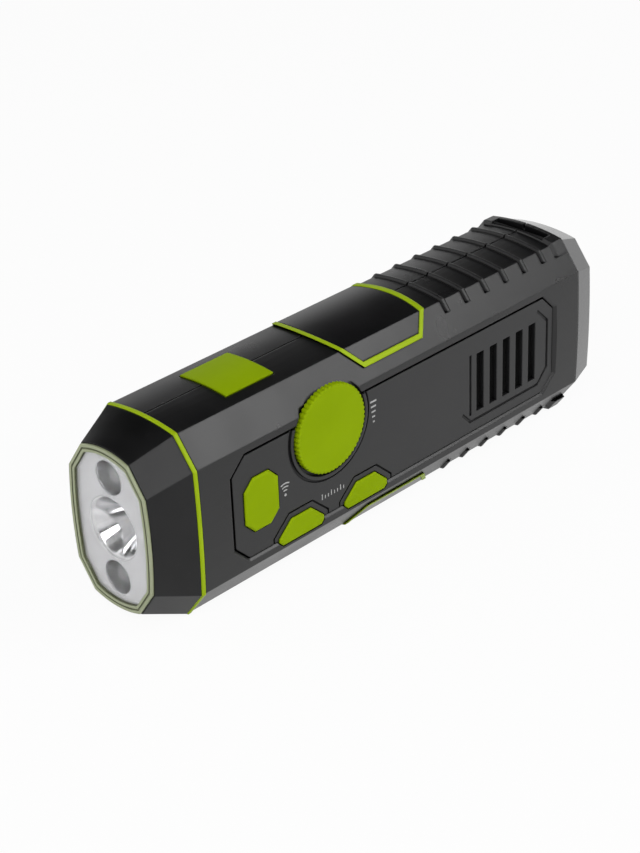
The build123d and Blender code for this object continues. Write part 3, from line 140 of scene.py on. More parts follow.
def mouldedFinish(name, ownLook):
    # Moulded plastic: fine grain, patchy gloss, hairline scuffs, paler edges that are partly rubbed and
    # partly a painted highlight, and painted shade that darkens the gaps and takes their gloss
    look = {**mouldedUsual, **ownLook}
    material, tree, shader = newMaterial(name)
    softNormal, edges = edgeMask(tree, look["edge"])
    blotch = objectNoise(tree, look["blotchScale"], look["blotchDetail"])
    grain = objectNoise(tree, look["grainScale"], look["grainDetail"])
    scuffs = objectNoise(tree, look["scuffScale"], look["scuffDetail"], look["scuffStretch"])
    tone = mixColour(tree, spread(tree, blotch, 0, 1), look["colour"], look["shade"])
    # Paler edges: partly rubbed wear, partly a painted highlight
    wearAndHighlight = spread(tree, blotch, look["leastWearAndHighlight"] * look["wearAndHighlight"], look["wearAndHighlight"])
    rubbed = combine(tree, "MULTIPLY", edges, wearAndHighlight)
    scuffsWearAndHighlight = combine(tree, "MAXIMUM", rubbed, spread(tree, scuffs, 0, look["scuffs"], *look["scuffRange"]))
    tone = mixColour(tree, scuffsWearAndHighlight, tone, look["rubbed"])
    # Painted shade: darkens the colour in gaps and engraved lines
    paintedGapShade = paintedGapShadeMask(tree, look["paintedShadeReach"])
    tone = mixColour(tree, paintedGapShade, tone, look["paintedGapShadeColour"])
    tree.links.new(tone, shader.inputs["Base Color"])
    low, high = look["roughness"]
    tree.links.new(spread(tree, blotch, low, high), shader.inputs["Roughness"])
    bump = node(tree, "ShaderNodeBump", Strength=look["grainStrength"], Distance=look["grainDepth"])
    tree.links.new(grain, bump.inputs["Height"])
    tree.links.new(softNormal, bump.inputs["Normal"])
    tree.links.new(bump.outputs["Normal"], shader.inputs["Normal"])
    shader.inputs["Specular IOR Level"].default_value = look["specular"]
    # Painted shade: the gloss fades out in gaps and engraved lines
    paintedShadeGloss = spread(tree, paintedGapShade, look["specular"], 0.0, 0.0, masks["paintedShadeFull"])
    tree.links.new(paintedShadeGloss, shader.inputs["Specular IOR Level"])
    shader.inputs["Coat Weight"].default_value = look["coat"]
    shader.inputs["Coat Roughness"].default_value = look["coatRoughness"]
    return material


metalUsual = {"metallic": 1.0, "wearAndHighlight": 0.3, "specular": 0.5, "lineDetail": 2, "lineDepth": 0.00002}


def metalFinish(name, ownLook):
    # Brushed, plated or metallised surface with fine lines along one direction
    look = {**metalUsual, **ownLook}
    material, tree, shader = newMaterial(name)
    shader.inputs["Metallic"].default_value = look["metallic"]
    softNormal, edges = edgeMask(tree, look["edge"])
    lines = objectNoise(tree, look["lineScale"], look["lineDetail"], look["stretch"])
    tone = mixColour(tree, spread(tree, lines, 0, 1), look["colour"], look["shade"])
    worn = combine(tree, "MULTIPLY", edges, look["wearAndHighlight"])
    tone = mixColour(tree, worn, tone, look["rubbed"])
    tree.links.new(tone, shader.inputs["Base Color"])
    low, high = look["roughness"]
    tree.links.new(spread(tree, lines, low, high), shader.inputs["Roughness"])
    bump = node(tree, "ShaderNodeBump", Strength=look["lineStrength"], Distance=look["lineDepth"])
    tree.links.new(lines, bump.inputs["Height"])
    tree.links.new(softNormal, bump.inputs["Normal"])
    tree.links.new(bump.outputs["Normal"], shader.inputs["Normal"])
    shader.inputs["Specular IOR Level"].default_value = look["specular"]
    return material


clearUsual = {"scuffDetail": 4, "scuffRange": (0.5, 0.8), "scuffStrength": 0.05, "scuffDepth": 0.00005}


def clearFinish(name, ownLook):
    # Clear moulding with a few faint scuffs
    look = {**clearUsual, **ownLook}
    material, tree, shader = newMaterial(name)
    scuffs = objectNoise(tree, look["scuffScale"], look["scuffDetail"])
    tree.links.new(spread(tree, scuffs, *look["roughness"], *look["scuffRange"]), shader.inputs["Roughness"])
    shader.inputs["Base Color"].default_value = (*look["colour"], 1)
    shader.inputs["Transmission Weight"].default_value = look["clear"]
    shader.inputs["IOR"].default_value = look["ior"]
    shader.inputs["Alpha"].default_value = look["alpha"]
    bump = node(tree, "ShaderNodeBump", Strength=look["scuffStrength"], Distance=look["scuffDepth"])
    tree.links.new(scuffs, bump.inputs["Height"])
    tree.links.new(bump.outputs["Normal"], shader.inputs["Normal"])
    return material


# The pale edge colour is partly wear and partly a painted highlight
shellLook = {
    "colour": (0.0032, 0.0032, 0.0035), "shade": (0.0048, 0.0048, 0.0052), "rubbed": (0.040, 0.040, 0.042),
    "roughness": (0.27, 0.33), "grainScale": 5200, "grainStrength": 0.30, "grainDepth": 0.00006,
    "edge": 0.0005, "wearAndHighlight": 0.30,
}
# Painted shade: the head bezel is the shell's plastic with a darker colour and weaker gloss
headPaintedShadeLook = dict(shellLook, roughness=(0.30, 0.37), colour=(0.0020, 0.0020, 0.0022), specular=0.32)
panelLook = dict(shellLook, roughness=(0.38, 0.46), colour=(0.0075, 0.0075, 0.0080), grainScale=6500)
panelLook.update(shade=(0.0100, 0.0100, 0.0107))
glossLook = {
    "colour": (0.0025, 0.0025, 0.0028), "shade": (0.0035, 0.0035, 0.0040), "rubbed": (0.03, 0.03, 0.032),
    "roughness": (0.19, 0.25), "grainScale": 900, "grainStrength": 0.05, "grainDepth": 0.00003,
    "edge": 0.0005, "wearAndHighlight": 0.25, "coat": 0.05, "coatRoughness": 0.12, "scuffs": 0.10, "specular": 0.38,
}
# Painted reflection: the tail cap is glossy black plastic, given a grey base colour that stands in for the
# white it reflects
tailPaintedSheenLook = dict(glossLook, roughness=(0.20, 0.28), coat=0.9, coatRoughness=0.16, colour=(0.030, 0.030, 0.031))
tailPaintedSheenLook.update(shade=(0.038, 0.038, 0.039), rubbed=(0.10, 0.10, 0.10))
trimLook = {
    "colour": (0.310, 0.440, 0.0030), "shade": (0.280, 0.400, 0.0025), "rubbed": (0.42, 0.54, 0.03),
    "roughness": (0.33, 0.42), "grainScale": 4200, "grainStrength": 0.2, "grainDepth": 0.00004,
    "edge": 0.0004, "wearAndHighlight": 0.45, "specular": 0.12,
}
keyLook = {
    "colour": (0.242, 0.354, 0.0004), "shade": (0.224, 0.330, 0.0003), "rubbed": (0.32, 0.45, 0.01),
    "roughness": (0.42, 0.52), "grainScale": 5200, "grainStrength": 0.25, "grainDepth": 0.00005,
    "edge": 0.0006, "wearAndHighlight": 0.40, "specular": 0.04,
}
sealLook = {
    "colour": (0.31, 0.34, 0.21), "shade": (0.27, 0.30, 0.175), "rubbed": (0.55, 0.58, 0.44),
    # Painted shade: the seal's groove is darkened towards this colour
    "paintedShadeReach": 0.0006, "paintedGapShadeColour": (0.055, 0.060, 0.028),
    "roughness": (0.28, 0.40), "grainScale": 3800, "grainStrength": 0.2, "grainDepth": 0.00004,
    "edge": 0.0003, "wearAndHighlight": 0.6,
}
acetalLook = {
    "colour": (0.70, 0.68, 0.60), "shade": (0.64, 0.62, 0.54), "rubbed": (0.80, 0.78, 0.72),
    "roughness": (0.35, 0.48), "grainScale": 4500, "grainStrength": 0.2, "grainDepth": 0.00004,
    "edge": 0.0002, "wearAndHighlight": 0.5,
}
boardLook = {
    "colour": (0.012, 0.12, 0.045), "shade": (0.015, 0.16, 0.06), "rubbed": (0.35, 0.30, 0.12),
    "roughness": (0.25, 0.4), "grainScale": 2500, "grainStrength": 0.2, "grainDepth": 0.00004,
    "edge": 0.0002, "wearAndHighlight": 0.6, "blotchScale": 420,
}
chipLook = dict(shellLook, roughness=(0.5, 0.62), edge=0.0002, wearAndHighlight=0.2)
rotorLook = dict(acetalLook, colour=(0.08, 0.08, 0.085), shade=(0.10, 0.10, 0.105), rubbed=(0.2, 0.2, 0.2))
paperLook = {
    "colour": (0.012, 0.011, 0.010), "shade": (0.018, 0.016, 0.014), "rubbed": (0.04, 0.038, 0.035),
    "roughness": (0.8, 0.95), "grainScale": 2600, "grainStrength": 0.8, "grainDepth": 0.0002,
    "edge": 0.0002, "wearAndHighlight": 0.3, "specular": 0.2,
}
steelLook = {
    "colour": (0.56, 0.56, 0.57), "shade": (0.42, 0.42, 0.44), "roughness": (0.22, 0.38),
    "lineScale": 900, "stretch": (1, 9, 1), "lineStrength": 0.2, "edge": 0.0002, "rubbed": (0.7, 0.7, 0.7),
}
basketLook = dict(steelLook, colour=(0.004, 0.004, 0.0042), shade=(0.003, 0.003, 0.0032), metallic=0.0)
basketLook.update(roughness=(0.55, 0.7), rubbed=(0.02, 0.02, 0.02), specular=0.12)
pinLook = dict(basketLook, colour=(0.012, 0.012, 0.0125), shade=(0.009, 0.009, 0.0095), specular=0.4)
bushLook = dict(steelLook, colour=(0.72, 0.50, 0.20), shade=(0.60, 0.40, 0.15), rubbed=(0.8, 0.6, 0.3))
copperLook = dict(steelLook, colour=(0.62, 0.26, 0.11), shade=(0.38, 0.13, 0.05), rubbed=(0.7, 0.35, 0.18))
copperLook.update(lineScale=2400, stretch=(1, 0.15, 1), lineStrength=0.9, roughness=(0.25, 0.4))
plateLook = {
    "colour": (0.60, 0.60, 0.615), "shade": (0.55, 0.55, 0.565), "rubbed": (0.75, 0.75, 0.76),
    "roughness": (0.38, 0.48), "metallic": 0.35,
    "lineScale": 420, "stretch": (1, 1, 1), "lineStrength": 0.15, "edge": 0.0003,
}
bowlLook = {
    "colour": (0.72, 0.72, 0.73), "shade": (0.62, 0.62, 0.63), "roughness": (0.06, 0.12),
    "lineScale": 260, "stretch": (3, 1, 1), "lineStrength": 0.10, "edge": 0.0002, "rubbed": (0.6, 0.6, 0.6),
}
# Painted reflection: the small cups get a dark base colour with bright and dark streaks in place of the dark
# surroundings they mirror
cupPaintedReflectionLook = dict(bowlLook, colour=(0.42, 0.42, 0.43), shade=(0.10, 0.10, 0.105), roughness=(0.04, 0.09))
cupPaintedReflectionLook.update(lineScale=620, stretch=(1.6, 1, 1), lineStrength=0.7)
magnetLook = dict(steelLook, colour=(0.12, 0.12, 0.125), shade=(0.08, 0.08, 0.085), roughness=(0.45, 0.6))
lensLook = {
    "colour": (0.98, 0.985, 0.98), "clear": 1.0, "ior": 1.3, "roughness": (0.02, 0.10), "scuffScale": 300,
    "alpha": 0.10,
}
domeLook = dict(lensLook, alpha=0.75, ior=1.5, clear=0.9, colour=(0.80, 0.81, 0.82), roughness=(0.03, 0.08))
resinLook = {
    "colour": (0.98, 0.95, 0.80), "clear": 0.85, "ior": 1.45, "roughness": (0.02, 0.1), "scuffScale": 500,
    "alpha": 0.7,
}
markLook = {
    "colour": (0.42, 0.42, 0.42), "shade": (0.34, 0.34, 0.34), "rubbed": (0.20, 0.20, 0.20),
    "roughness": (0.45, 0.6), "grainScale": 9000, "grainStrength": 0.1, "grainDepth": 0.00002,
    "edge": 0.00005, "wearAndHighlight": 0.2, "blotchScale": 900, "scuffs": 0.6, "scuffScale": 2400,
}
phosphorLook = dict(markLook, colour=(0.75, 0.60, 0.06), shade=(0.65, 0.50, 0.04), rubbed=(0.8, 0.7, 0.3))

finishes = {
    "black_shell": mouldedFinish("shellBlack", shellLook),
    "gloss_black": mouldedFinish("saddleGloss", glossLook),
    "green_trim": mouldedFinish("trimGreen", trimLook),
    "green_keys": mouldedFinish("keyGreen", keyLook),
    "seal_rubber": mouldedFinish("sealOlive", sealLook),
    "clear_lens": clearFinish("lensClear", lensLook),
    "silvered_plastic": metalFinish("reflectorPlate", plateLook),
    "led_resin": clearFinish("lampResin", resinLook),
    "board_laminate": mouldedFinish("boardGreen", boardLook),
    "chip_plastic": mouldedFinish("chipBlack", chipLook),
    "bright_steel": metalFinish("steelPlated", steelLook),
    "speaker_paper": mouldedFinish("conePaper", paperLook),
    "magnet_iron": metalFinish("magnetGrey", magnetLook),
    "gear_acetal": mouldedFinish("gearWhite", acetalLook),
    "bush_brass": metalFinish("bushBrass", bushLook),
    "copper_wire": metalFinish("windingCopper", copperLook),
    "rotor_plastic": mouldedFinish("rotorGrey", rotorLook),
}
ownFinish = {
    "head_bezel": mouldedFinish("headBlackPaintedShade", headPaintedShadeLook),
    "control_panel": mouldedFinish("controlPanelBlack", panelLook),
    "tail_cap": mouldedFinish("tailPaintedSheen", tailPaintedSheenLook),
    "speaker_frame": metalFinish("basketBlack", basketLook),
    "strap_pin": metalFinish("pinBlack", pinLook),
    "knob_carrier": finishes["chip_plastic"],
}
bowlMirror = metalFinish("bowlMirror", bowlLook)
cupMirrorPaintedReflection = metalFinish("cupMirrorPaintedReflection", cupPaintedReflectionLook)
clearDome = clearFinish("domeClear", domeLook)
markPaint = mouldedFinish("markPaint", markLook)
phosphorYellow = mouldedFinish("phosphorYellow", phosphorLook)

slotOf = {entry["node"]: entry["material_slot"] for entry in frame["record"]["subparts"]}
for name, shape in nodes.items():
    shape.data.materials.clear()
    shape.data.materials.append(ownFinish.get(name, finishes[slotOf[name]]))
print("materials on", len(nodes), "CAD nodes")


def makePiece(mesh, name, body, finish, smooth=False):
    # Turns a bmesh into a piece that rides on a body
    bmesh.ops.recalc_face_normals(mesh, faces=mesh.faces)
    data = bpy.data.meshes.new(name)
    mesh.to_mesh(data)
    mesh.free()
    for face in data.polygons:
        face.use_smooth = smooth
    data.materials.append(finish)
    piece = bpy.data.objects.new(name, data)
    bpy.context.scene.collection.objects.link(piece)
    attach(piece, body)
    return piece


def spinProfile(mesh, profile, centre, axis, steps):
    # Full turn of a closed outline of (along the axis, radius) points
    centre, axis = Vector(centre), Vector(axis)
    points = [mesh.verts.new(centre + axis * along + Vector((0, 0, radius))) for along, radius in profile]
    rims = [mesh.edges.new(pair) for pair in zip(points, points[1:] + points[:1])]
    bmesh.ops.spin(
        mesh, geom=points + rims, cent=centre, axis=axis, dvec=(0, 0, 0),
        angle=math.tau, steps=steps, use_merge=True, use_duplicate=False,
    )


def pushOut(mesh, faces, distance):
    # Raises flat faces into a solid along +Z and gives the new vertices
    raised = bmesh.ops.extrude_face_region(mesh, geom=faces)
    raisedVerts = [item for item in raised["geom"] if isinstance(item, bmesh.types.BMVert)]
    bmesh.ops.translate(mesh, verts=raisedVerts, vec=(0, 0, distance))
    return raisedVerts


def standUp(mesh, verts, spot):
    # Turns what was drawn flat to face the control side, and puts it in place
    bmesh.ops.rotate(mesh, verts=verts, cent=(0, 0, 0), matrix=Matrix.Rotation(math.pi / 2, 3, "X"))
    bmesh.ops.translate(mesh, verts=verts, vec=spot)


joinReach = 0.000001  # vertices closer than this are one


def mergedCopy(name):
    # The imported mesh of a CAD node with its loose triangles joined
    mesh = bmesh.new()
    mesh.from_mesh(nodes[name].data)
    bmesh.ops.remove_doubles(mesh, verts=mesh.verts, dist=joinReach)
    return mesh


bowls = {
    "front": -0.08398,  # just behind the lens
    "wall": 0.00006, "gap": 0.00014, "points": 14, "steps": 96,
    "bend": 1.1667,  # how much of the narrowing is linear in depth
    "main": {"heights": (0.0,), "radius": 0.0088, "throat": 0.0032, "depth": 0.0117},
    "side": {"heights": (0.0144, -0.0144), "radius": 0.0048, "throat": 0.0029, "depth": 0.0064},
}


def makeBowls(name, cup, finish):
    # Thin bright linings of the reflector's cups
    inner = []
    for step in range(bowls["points"]):
        share = step / (bowls["points"] - 1)
        narrowing = bowls["bend"] * share + (1 - bowls["bend"]) * share * share
        radius = cup["radius"] - bowls["gap"] - (cup["radius"] - cup["throat"]) * narrowing
        inner.append((share * cup["depth"], radius))
    outer = [(along, radius + bowls["wall"]) for along, radius in reversed(inner)]
    mesh = bmesh.new()
    for height in cup["heights"]:
        spinProfile(mesh, inner + outer, (bowls["front"], 0, midZ + height), (1, 0, 0), bowls["steps"])
    makePiece(mesh, name, "housing", finish, smooth=True)


makeBowls("mainBowl", bowls["main"], bowlMirror)
makeBowls("sideBowls", bowls["side"], cupMirrorPaintedReflection)
print("reflector bowls made")


# The CAD shell keeps a 0.05 mm skin over the slope at both ends of the panel's opening; it is cut away
shellCut = {
    "ends": ((-0.06121, -0.06000), (0.06630, 0.06751)),  # along the body, where the sloping edge runs out
    "outer": -0.0200, "inner": -0.018695, "half": 0.0068,
}
cutterMesh = bmesh.new()
for start, stop in shellCut["ends"]:
    made = bmesh.ops.create_cube(cutterMesh, size=1)
    size = (stop - start, shellCut["inner"] - shellCut["outer"], 2 * shellCut["half"])
    bmesh.ops.scale(cutterMesh, verts=made["verts"], vec=size)
    spot = ((start + stop) / 2, (shellCut["inner"] + shellCut["outer"]) / 2, midZ)
    bmesh.ops.translate(cutterMesh, verts=made["verts"], vec=spot)
cutterData = bpy.data.meshes.new("shellCutter")
cutterMesh.to_mesh(cutterData)
cutterMesh.free()
cutter = bpy.data.objects.new("shellCutter", cutterData)
bpy.context.scene.collection.objects.link(cutter)
shellPiece = makePiece(mergedCopy("control_shell"), "controlShellOpened", "housing", finishes["black_shell"])
carve = shellPiece.modifiers.new("openEnds", "BOOLEAN")
carve.operation, carve.solver, carve.object = "DIFFERENCE", "EXACT", cutter
bpy.context.view_layer.update()
carved = bpy.data.meshes.new_from_object(shellPiece.evaluated_get(bpy.context.evaluated_depsgraph_get()))
shellPiece.modifiers.remove(carve)
shellPiece.data = carved
bpy.data.objects.remove(cutter)
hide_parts("control_shell")
print("control shell opened:", len(carved.polygons), "faces")


pane = {
    "fit": (0.72, 0.985, 0.990),  # shares of the CAD lens, so that it stands clear of the seal and the plate
    "setBack": 0.00003, "flat": math.radians(2), "sharp": 0.5, "edge": 0.00022, "segments": 2,
}
paneMesh = mergedCopy("front_lens")
bmesh.ops.dissolve_limit(
    paneMesh, angle_limit=pane["flat"], verts=paneMesh.verts[:], edges=paneMesh.edges[:],
    use_dissolve_boundaries=False, delimit=set(),
)
paneLow, paneHigh = (Vector(corner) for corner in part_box("front_lens"))
anchor = Vector((paneLow.x, (paneLow.y + paneHigh.y) / 2, (paneLow.z + paneHigh.z) / 2))
bmesh.ops.translate(paneMesh, verts=paneMesh.verts, vec=-anchor)
bmesh.ops.scale(paneMesh, verts=paneMesh.verts, vec=pane["fit"])
bmesh.ops.translate(paneMesh, verts=paneMesh.verts, vec=anchor + Vector((pane["setBack"], 0, 0)))
frontX = min(vertex.co.x for vertex in paneMesh.verts)
frontRim = [
    edge for edge in paneMesh.edges
    if edge.calc_face_angle(0) > pane["sharp"]
    and all(abs(vertex.co.x - frontX) < pane["setBack"] for vertex in edge.verts)
]
bmesh.ops.bevel(
    paneMesh, geom=frontRim, offset=pane["edge"], segments=pane["segments"], profile=0.5,
    affect="EDGES", material=-1,
)
panePiece = makePiece(paneMesh, "lensPane", "housing", finishes["clear_lens"])
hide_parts("front_lens")
print("lens pane made")


lampDies = {
    "places": ((-0.0746, 0.0), (-0.0783, 0.0144), (-0.0783, -0.0144)),
    "cupRadius": 0.0012, "floorRadius": 0.0007, "cupDepth": 0.0007, "cupWall": 0.0002, "axisHole": 0.00005,
    "die": 0.00042, "dieFit": (0.5, 1, 1),  # half the width of a chip, and its proportions
    "dieEdge": 0.00006, "edgeSegments": 2, "steps": 32,
}
depth, wall, hole = lampDies["cupDepth"], lampDies["cupWall"], lampDies["axisHole"]
mouth, bottom = lampDies["cupRadius"], lampDies["floorRadius"]
cupProfile = (
    (0.0, mouth), (depth, bottom), (depth, hole),
    (depth + wall, hole), (depth + wall, bottom + wall), (0.0, mouth + wall),
)
dieCupMesh = bmesh.new()
dieMesh = bmesh.new()
for x, z in lampDies["places"]:
    spinProfile(dieCupMesh, cupProfile, (x, 0, midZ + z), (1, 0, 0), lampDies["steps"])
    made = bmesh.ops.create_cube(dieMesh, size=2 * lampDies["die"])
    bmesh.ops.scale(dieMesh, verts=made["verts"], vec=lampDies["dieFit"])
    bmesh.ops.translate(dieMesh, verts=made["verts"], vec=(x + depth - lampDies["die"] / 2, 0, midZ + z))
bmesh.ops.bevel(
    dieMesh, geom=dieMesh.edges[:], offset=lampDies["dieEdge"], segments=lampDies["edgeSegments"],
    profile=0.5, affect="EDGES", material=-1,
)
dieCups = makePiece(dieCupMesh, "lampCups", "housing", finishes["bright_steel"], smooth=True)
makePiece(dieMesh, "lampPhosphor", "housing", phosphorYellow)
print("lamp cups and phosphor made")


lampDomes = {
    "tip": -0.08290, "base": -0.08000, "heights": (0.0144, -0.0144), "radius": 0.00335, "wall": 0.0003,
    "bulge": 0.0021, "points": 12, "axisHole": 0.00002, "steps": 64,
}
domeOuter = []
for step in range(lampDomes["points"] + 1):
    swing = math.pi / 2 * step / lampDomes["points"]
    radius = max(lampDomes["axisHole"], lampDomes["radius"] * math.sin(swing))
    domeOuter.append((lampDomes["bulge"] * (1 - math.cos(swing)), radius))
domeOuter.append((lampDomes["base"] - lampDomes["tip"], lampDomes["radius"]))
domeInner = [
    (along + lampDomes["wall"], max(lampDomes["axisHole"], radius - lampDomes["wall"]))
    for along, radius in reversed(domeOuter)
]
domeMesh = bmesh.new()
for height in lampDomes["heights"]:
    domeSpot = (lampDomes["tip"], 0, midZ + height)
    spinProfile(domeMesh, domeOuter + domeInner, domeSpot, (1, 0, 0), lampDomes["steps"])
domePiece = makePiece(domeMesh, "sideLampDomes", "housing", clearDome, smooth=True)
print("lamp domes made")


speakerMesh = {
    "first": 0.03455, "pitch": 0.00562, "count": 5, "z": -0.0003,
    "width": 0.00306, "height": 0.01796, "across": 6, "along": 36, "wire": 0.00020, "y": -0.0167,
}
clothMesh = bmesh.new()
for index in range(speakerMesh["count"]):
    made = bmesh.ops.create_grid(
        clothMesh, x_segments=speakerMesh["across"], y_segments=speakerMesh["along"], size=0.5,
    )
    bmesh.ops.scale(clothMesh, verts=made["verts"], vec=(speakerMesh["width"], speakerMesh["height"], 1))
    slotX = speakerMesh["first"] + index * speakerMesh["pitch"]
    standUp(clothMesh, made["verts"], (slotX, speakerMesh["y"], midZ + speakerMesh["z"]))
bmesh.ops.wireframe(
    clothMesh, faces=clothMesh.faces[:], thickness=speakerMesh["wire"], offset=0.0,
    use_replace=True, use_boundary=True, use_even_offset=True,
)
clothPiece = makePiece(clothMesh, "speakerMesh", "housing", ownFinish["speaker_frame"])
print("speaker mesh made")


dial = {
    "centre": (-0.0252, 0.0101), "face": -0.0191, "back": -0.0172, "radius": 0.0124,
    "flutes": 56, "samples": 6, "fluteDepth": 0.00034, "edge": 0.0003, "edgeSegments": 3,
    "shaftRadius": 0.0029, "shaftSink": 0.000475, "shaftEnd": -0.0100, "shaftSides": 48,
}
dialMesh = bmesh.new()
made = bmesh.ops.create_circle(
    dialMesh, cap_ends=True, radius=dial["radius"], segments=dial["flutes"] * dial["samples"],
)
for vertex in made["verts"]:
    turn = math.atan2(vertex.co.y, vertex.co.x) * dial["flutes"]
    vertex.co *= 1 - dial["fluteDepth"] / dial["radius"] * (0.5 - 0.5 * math.cos(turn)) ** 2
thickness = dial["back"] - dial["face"]
topVerts = pushOut(dialMesh, dialMesh.faces[:], thickness)
topRim = [edge for edge in dialMesh.edges if all(vertex in topVerts for vertex in edge.verts)]
bmesh.ops.bevel(
    dialMesh, geom=topRim, offset=dial["edge"], segments=dial["edgeSegments"], profile=0.5,
    affect="EDGES", material=-1, clamp_overlap=False,
)
made = bmesh.ops.create_circle(
    dialMesh, cap_ends=True, radius=dial["shaftRadius"], segments=dial["shaftSides"],
)
shaftFace = made["verts"][0].link_faces[:]
bmesh.ops.translate(dialMesh, verts=made["verts"], vec=(0, 0, dial["shaftSink"]))
pushOut(dialMesh, shaftFace, dial["back"] - dial["shaftEnd"] - dial["shaftSink"])
standUp(dialMesh, dialMesh.verts, (dial["centre"][0], dial["back"], midZ + dial["centre"][1]))
dialPiece = makePiece(dialMesh, "dialCap", "volume_dial", finishes["green_keys"])
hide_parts("volume_dial")
print("volume dial made")


marks = {
    "face": -0.01805, "height": 0.00003, "sink": 0.000003,
    "bars": {
        "x": -0.0086, "low": 0.0050, "pitch": 0.00150, "count": 5,
        "thick": 0.00050, "short": 0.0007, "grow": 0.00042,
    },
    "waves": {
        "x": -0.0419, "z": -0.0024, "dot": 0.00042, "dotSides": 20, "first": 0.0012, "pitch": 0.0010,
        "count": 3, "line": 0.00038, "half": math.radians(27), "steps": 14,
    },
    "scale": {
        "x": -0.02475, "z": -0.0099, "pitch": 0.00115, "count": 8, "longEvery": 3,
        "thick": 0.00032, "long": 0.0016, "short": 0.0010,
    },
}


def flatBar(mesh, x, z, width, height):
    made = bmesh.ops.create_grid(mesh, x_segments=1, y_segments=1, size=0.5)
    bmesh.ops.scale(mesh, verts=made["verts"], vec=(width, height, 1))
    bmesh.ops.translate(mesh, verts=made["verts"], vec=(x, z, 0))


markMesh = bmesh.new()
bars = marks["bars"]
for index in range(bars["count"]):
    barWidth = bars["short"] + index * bars["grow"]
    flatBar(markMesh, bars["x"], bars["low"] + index * bars["pitch"], barWidth, bars["thick"])
waves = marks["waves"]
made = bmesh.ops.create_circle(markMesh, cap_ends=True, radius=waves["dot"], segments=waves["dotSides"])
bmesh.ops.translate(markMesh, verts=made["verts"], vec=(waves["x"], waves["z"], 0))
lean = (math.sin(waves["half"]), math.cos(waves["half"]))
for index in range(waves["count"]):
    low = waves["first"] + index * waves["pitch"]
    ends = [
        markMesh.verts.new((waves["x"] + radius * lean[0], waves["z"] + radius * lean[1], 0))
        for radius in (low, low + waves["line"])
    ]
    bmesh.ops.spin(
        markMesh, geom=ends + [markMesh.edges.new(ends)], cent=(waves["x"], waves["z"], 0), axis=(0, 0, 1),
        dvec=(0, 0, 0), angle=2 * waves["half"], steps=waves["steps"], use_merge=False, use_duplicate=False,
    )
scale = marks["scale"]
for index in range(scale["count"]):
    tall = scale["long"] if index % scale["longEvery"] == 0 else scale["short"]
    place = scale["x"] + (index - (scale["count"] - 1) / 2) * scale["pitch"]
    flatBar(markMesh, place, scale["z"] + tall / 2, scale["thick"], tall)
pushOut(markMesh, markMesh.faces[:], marks["height"])
standUp(markMesh, markMesh.verts, (0, marks["face"] - marks["sink"], midZ))
makePiece(markMesh, "panelMarks", "housing", markPaint)
print("panel marks made")


grip = {
    "start": 0.0364, "length": 0.0286, "y": 0.0232, "bore": 0.00172, "nose": 0.0034, "radius": 0.0039,
    "waist": 0.0033, "bevel": 0.0010, "band": 0.0040, "capRoom": 0.0030, "capDepth": 0.0012,
    "rings": 9, "ringWidth": 0.0005, "ringDepth": 0.00022, "steps": 64,
}


def gripRadius(along):
    # Slim waist between two straight bands
    reach = max(0.0, min(1.0, (along - grip["band"]) / (grip["length"] - 2 * grip["band"])))
    return grip["radius"] - (grip["radius"] - grip["waist"]) * math.sin(math.pi * reach)


outline = [
    (0.0, grip["bore"]), (0.0, grip["nose"]), (grip["bevel"], grip["radius"]), (grip["band"], grip["radius"]),
]
ringPitch = (grip["length"] - 2 * grip["band"]) / grip["rings"]
for index in range(grip["rings"]):
    ring = grip["band"] + (index + 0.5) * ringPitch
    half = grip["ringWidth"] / 2
    for offset, sink in ((-half, 0), (-half / 2, 1), (half / 2, 1), (half, 0)):
        outline.append((ring + offset, gripRadius(ring + offset) - sink * grip["ringDepth"]))
    if index < grip["rings"] - 1:
        outline.append((ring + ringPitch / 2, gripRadius(ring + ringPitch / 2)))
end = grip["length"]
outline += [
    (end - grip["band"], grip["radius"]), (end - grip["bevel"], grip["radius"]), (end, grip["nose"]),
    (end, grip["capRoom"]), (end - grip["capDepth"], grip["capRoom"]), (end - grip["capDepth"], grip["bore"]),
]
gripMesh = bmesh.new()
spinProfile(gripMesh, outline, (grip["start"], grip["y"], midZ), (-1, 0, 0), grip["steps"])
gripPiece = makePiece(gripMesh, "knobGrip", "knob", finishes["gloss_black"])
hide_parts("crank_knob")
print("crank grip made")


studio = {
    "floorSize": 6.0, "floorTone": 0.80, "floorRoughness": 0.9,
    "seenGlow": 0.94, "mirrorGlow": 0.66,  # share of plain white in the floor as seen and as mirrored
    "horizon": 1.0, "zenith": 0.04, "fade": (0.20, 0.42),
    "keyLight": {"at": (-0.75, -0.62, 0.85), "size": 1.3, "height": 0.45, "power": 11.0},
    "fillLight": {"at": (0.66, -0.76, 0.92), "size": 0.7, "height": 0.7, "power": 7.4},
    "backLight": {"at": (-0.7, 0.8, 0.9), "size": 0.8, "height": 0.8, "power": 3.0},
}
world = bpy.data.worlds.new("studioWorld")
bpy.context.scene.world = world
world.use_nodes = True
sky = world.node_tree
backdrop = sky.nodes["Background"]
backdrop.inputs["Color"].default_value = (1, 1, 1, 1)
direction = node(sky, "ShaderNodeTexCoord")
split = node(sky, "ShaderNodeSeparateXYZ")
sky.links.new(direction.outputs["Generated"], split.inputs[0])
fade = spread(sky, split.outputs["Z"], studio["horizon"], studio["zenith"], *studio["fade"])
sky.links.new(fade, backdrop.inputs["Strength"])

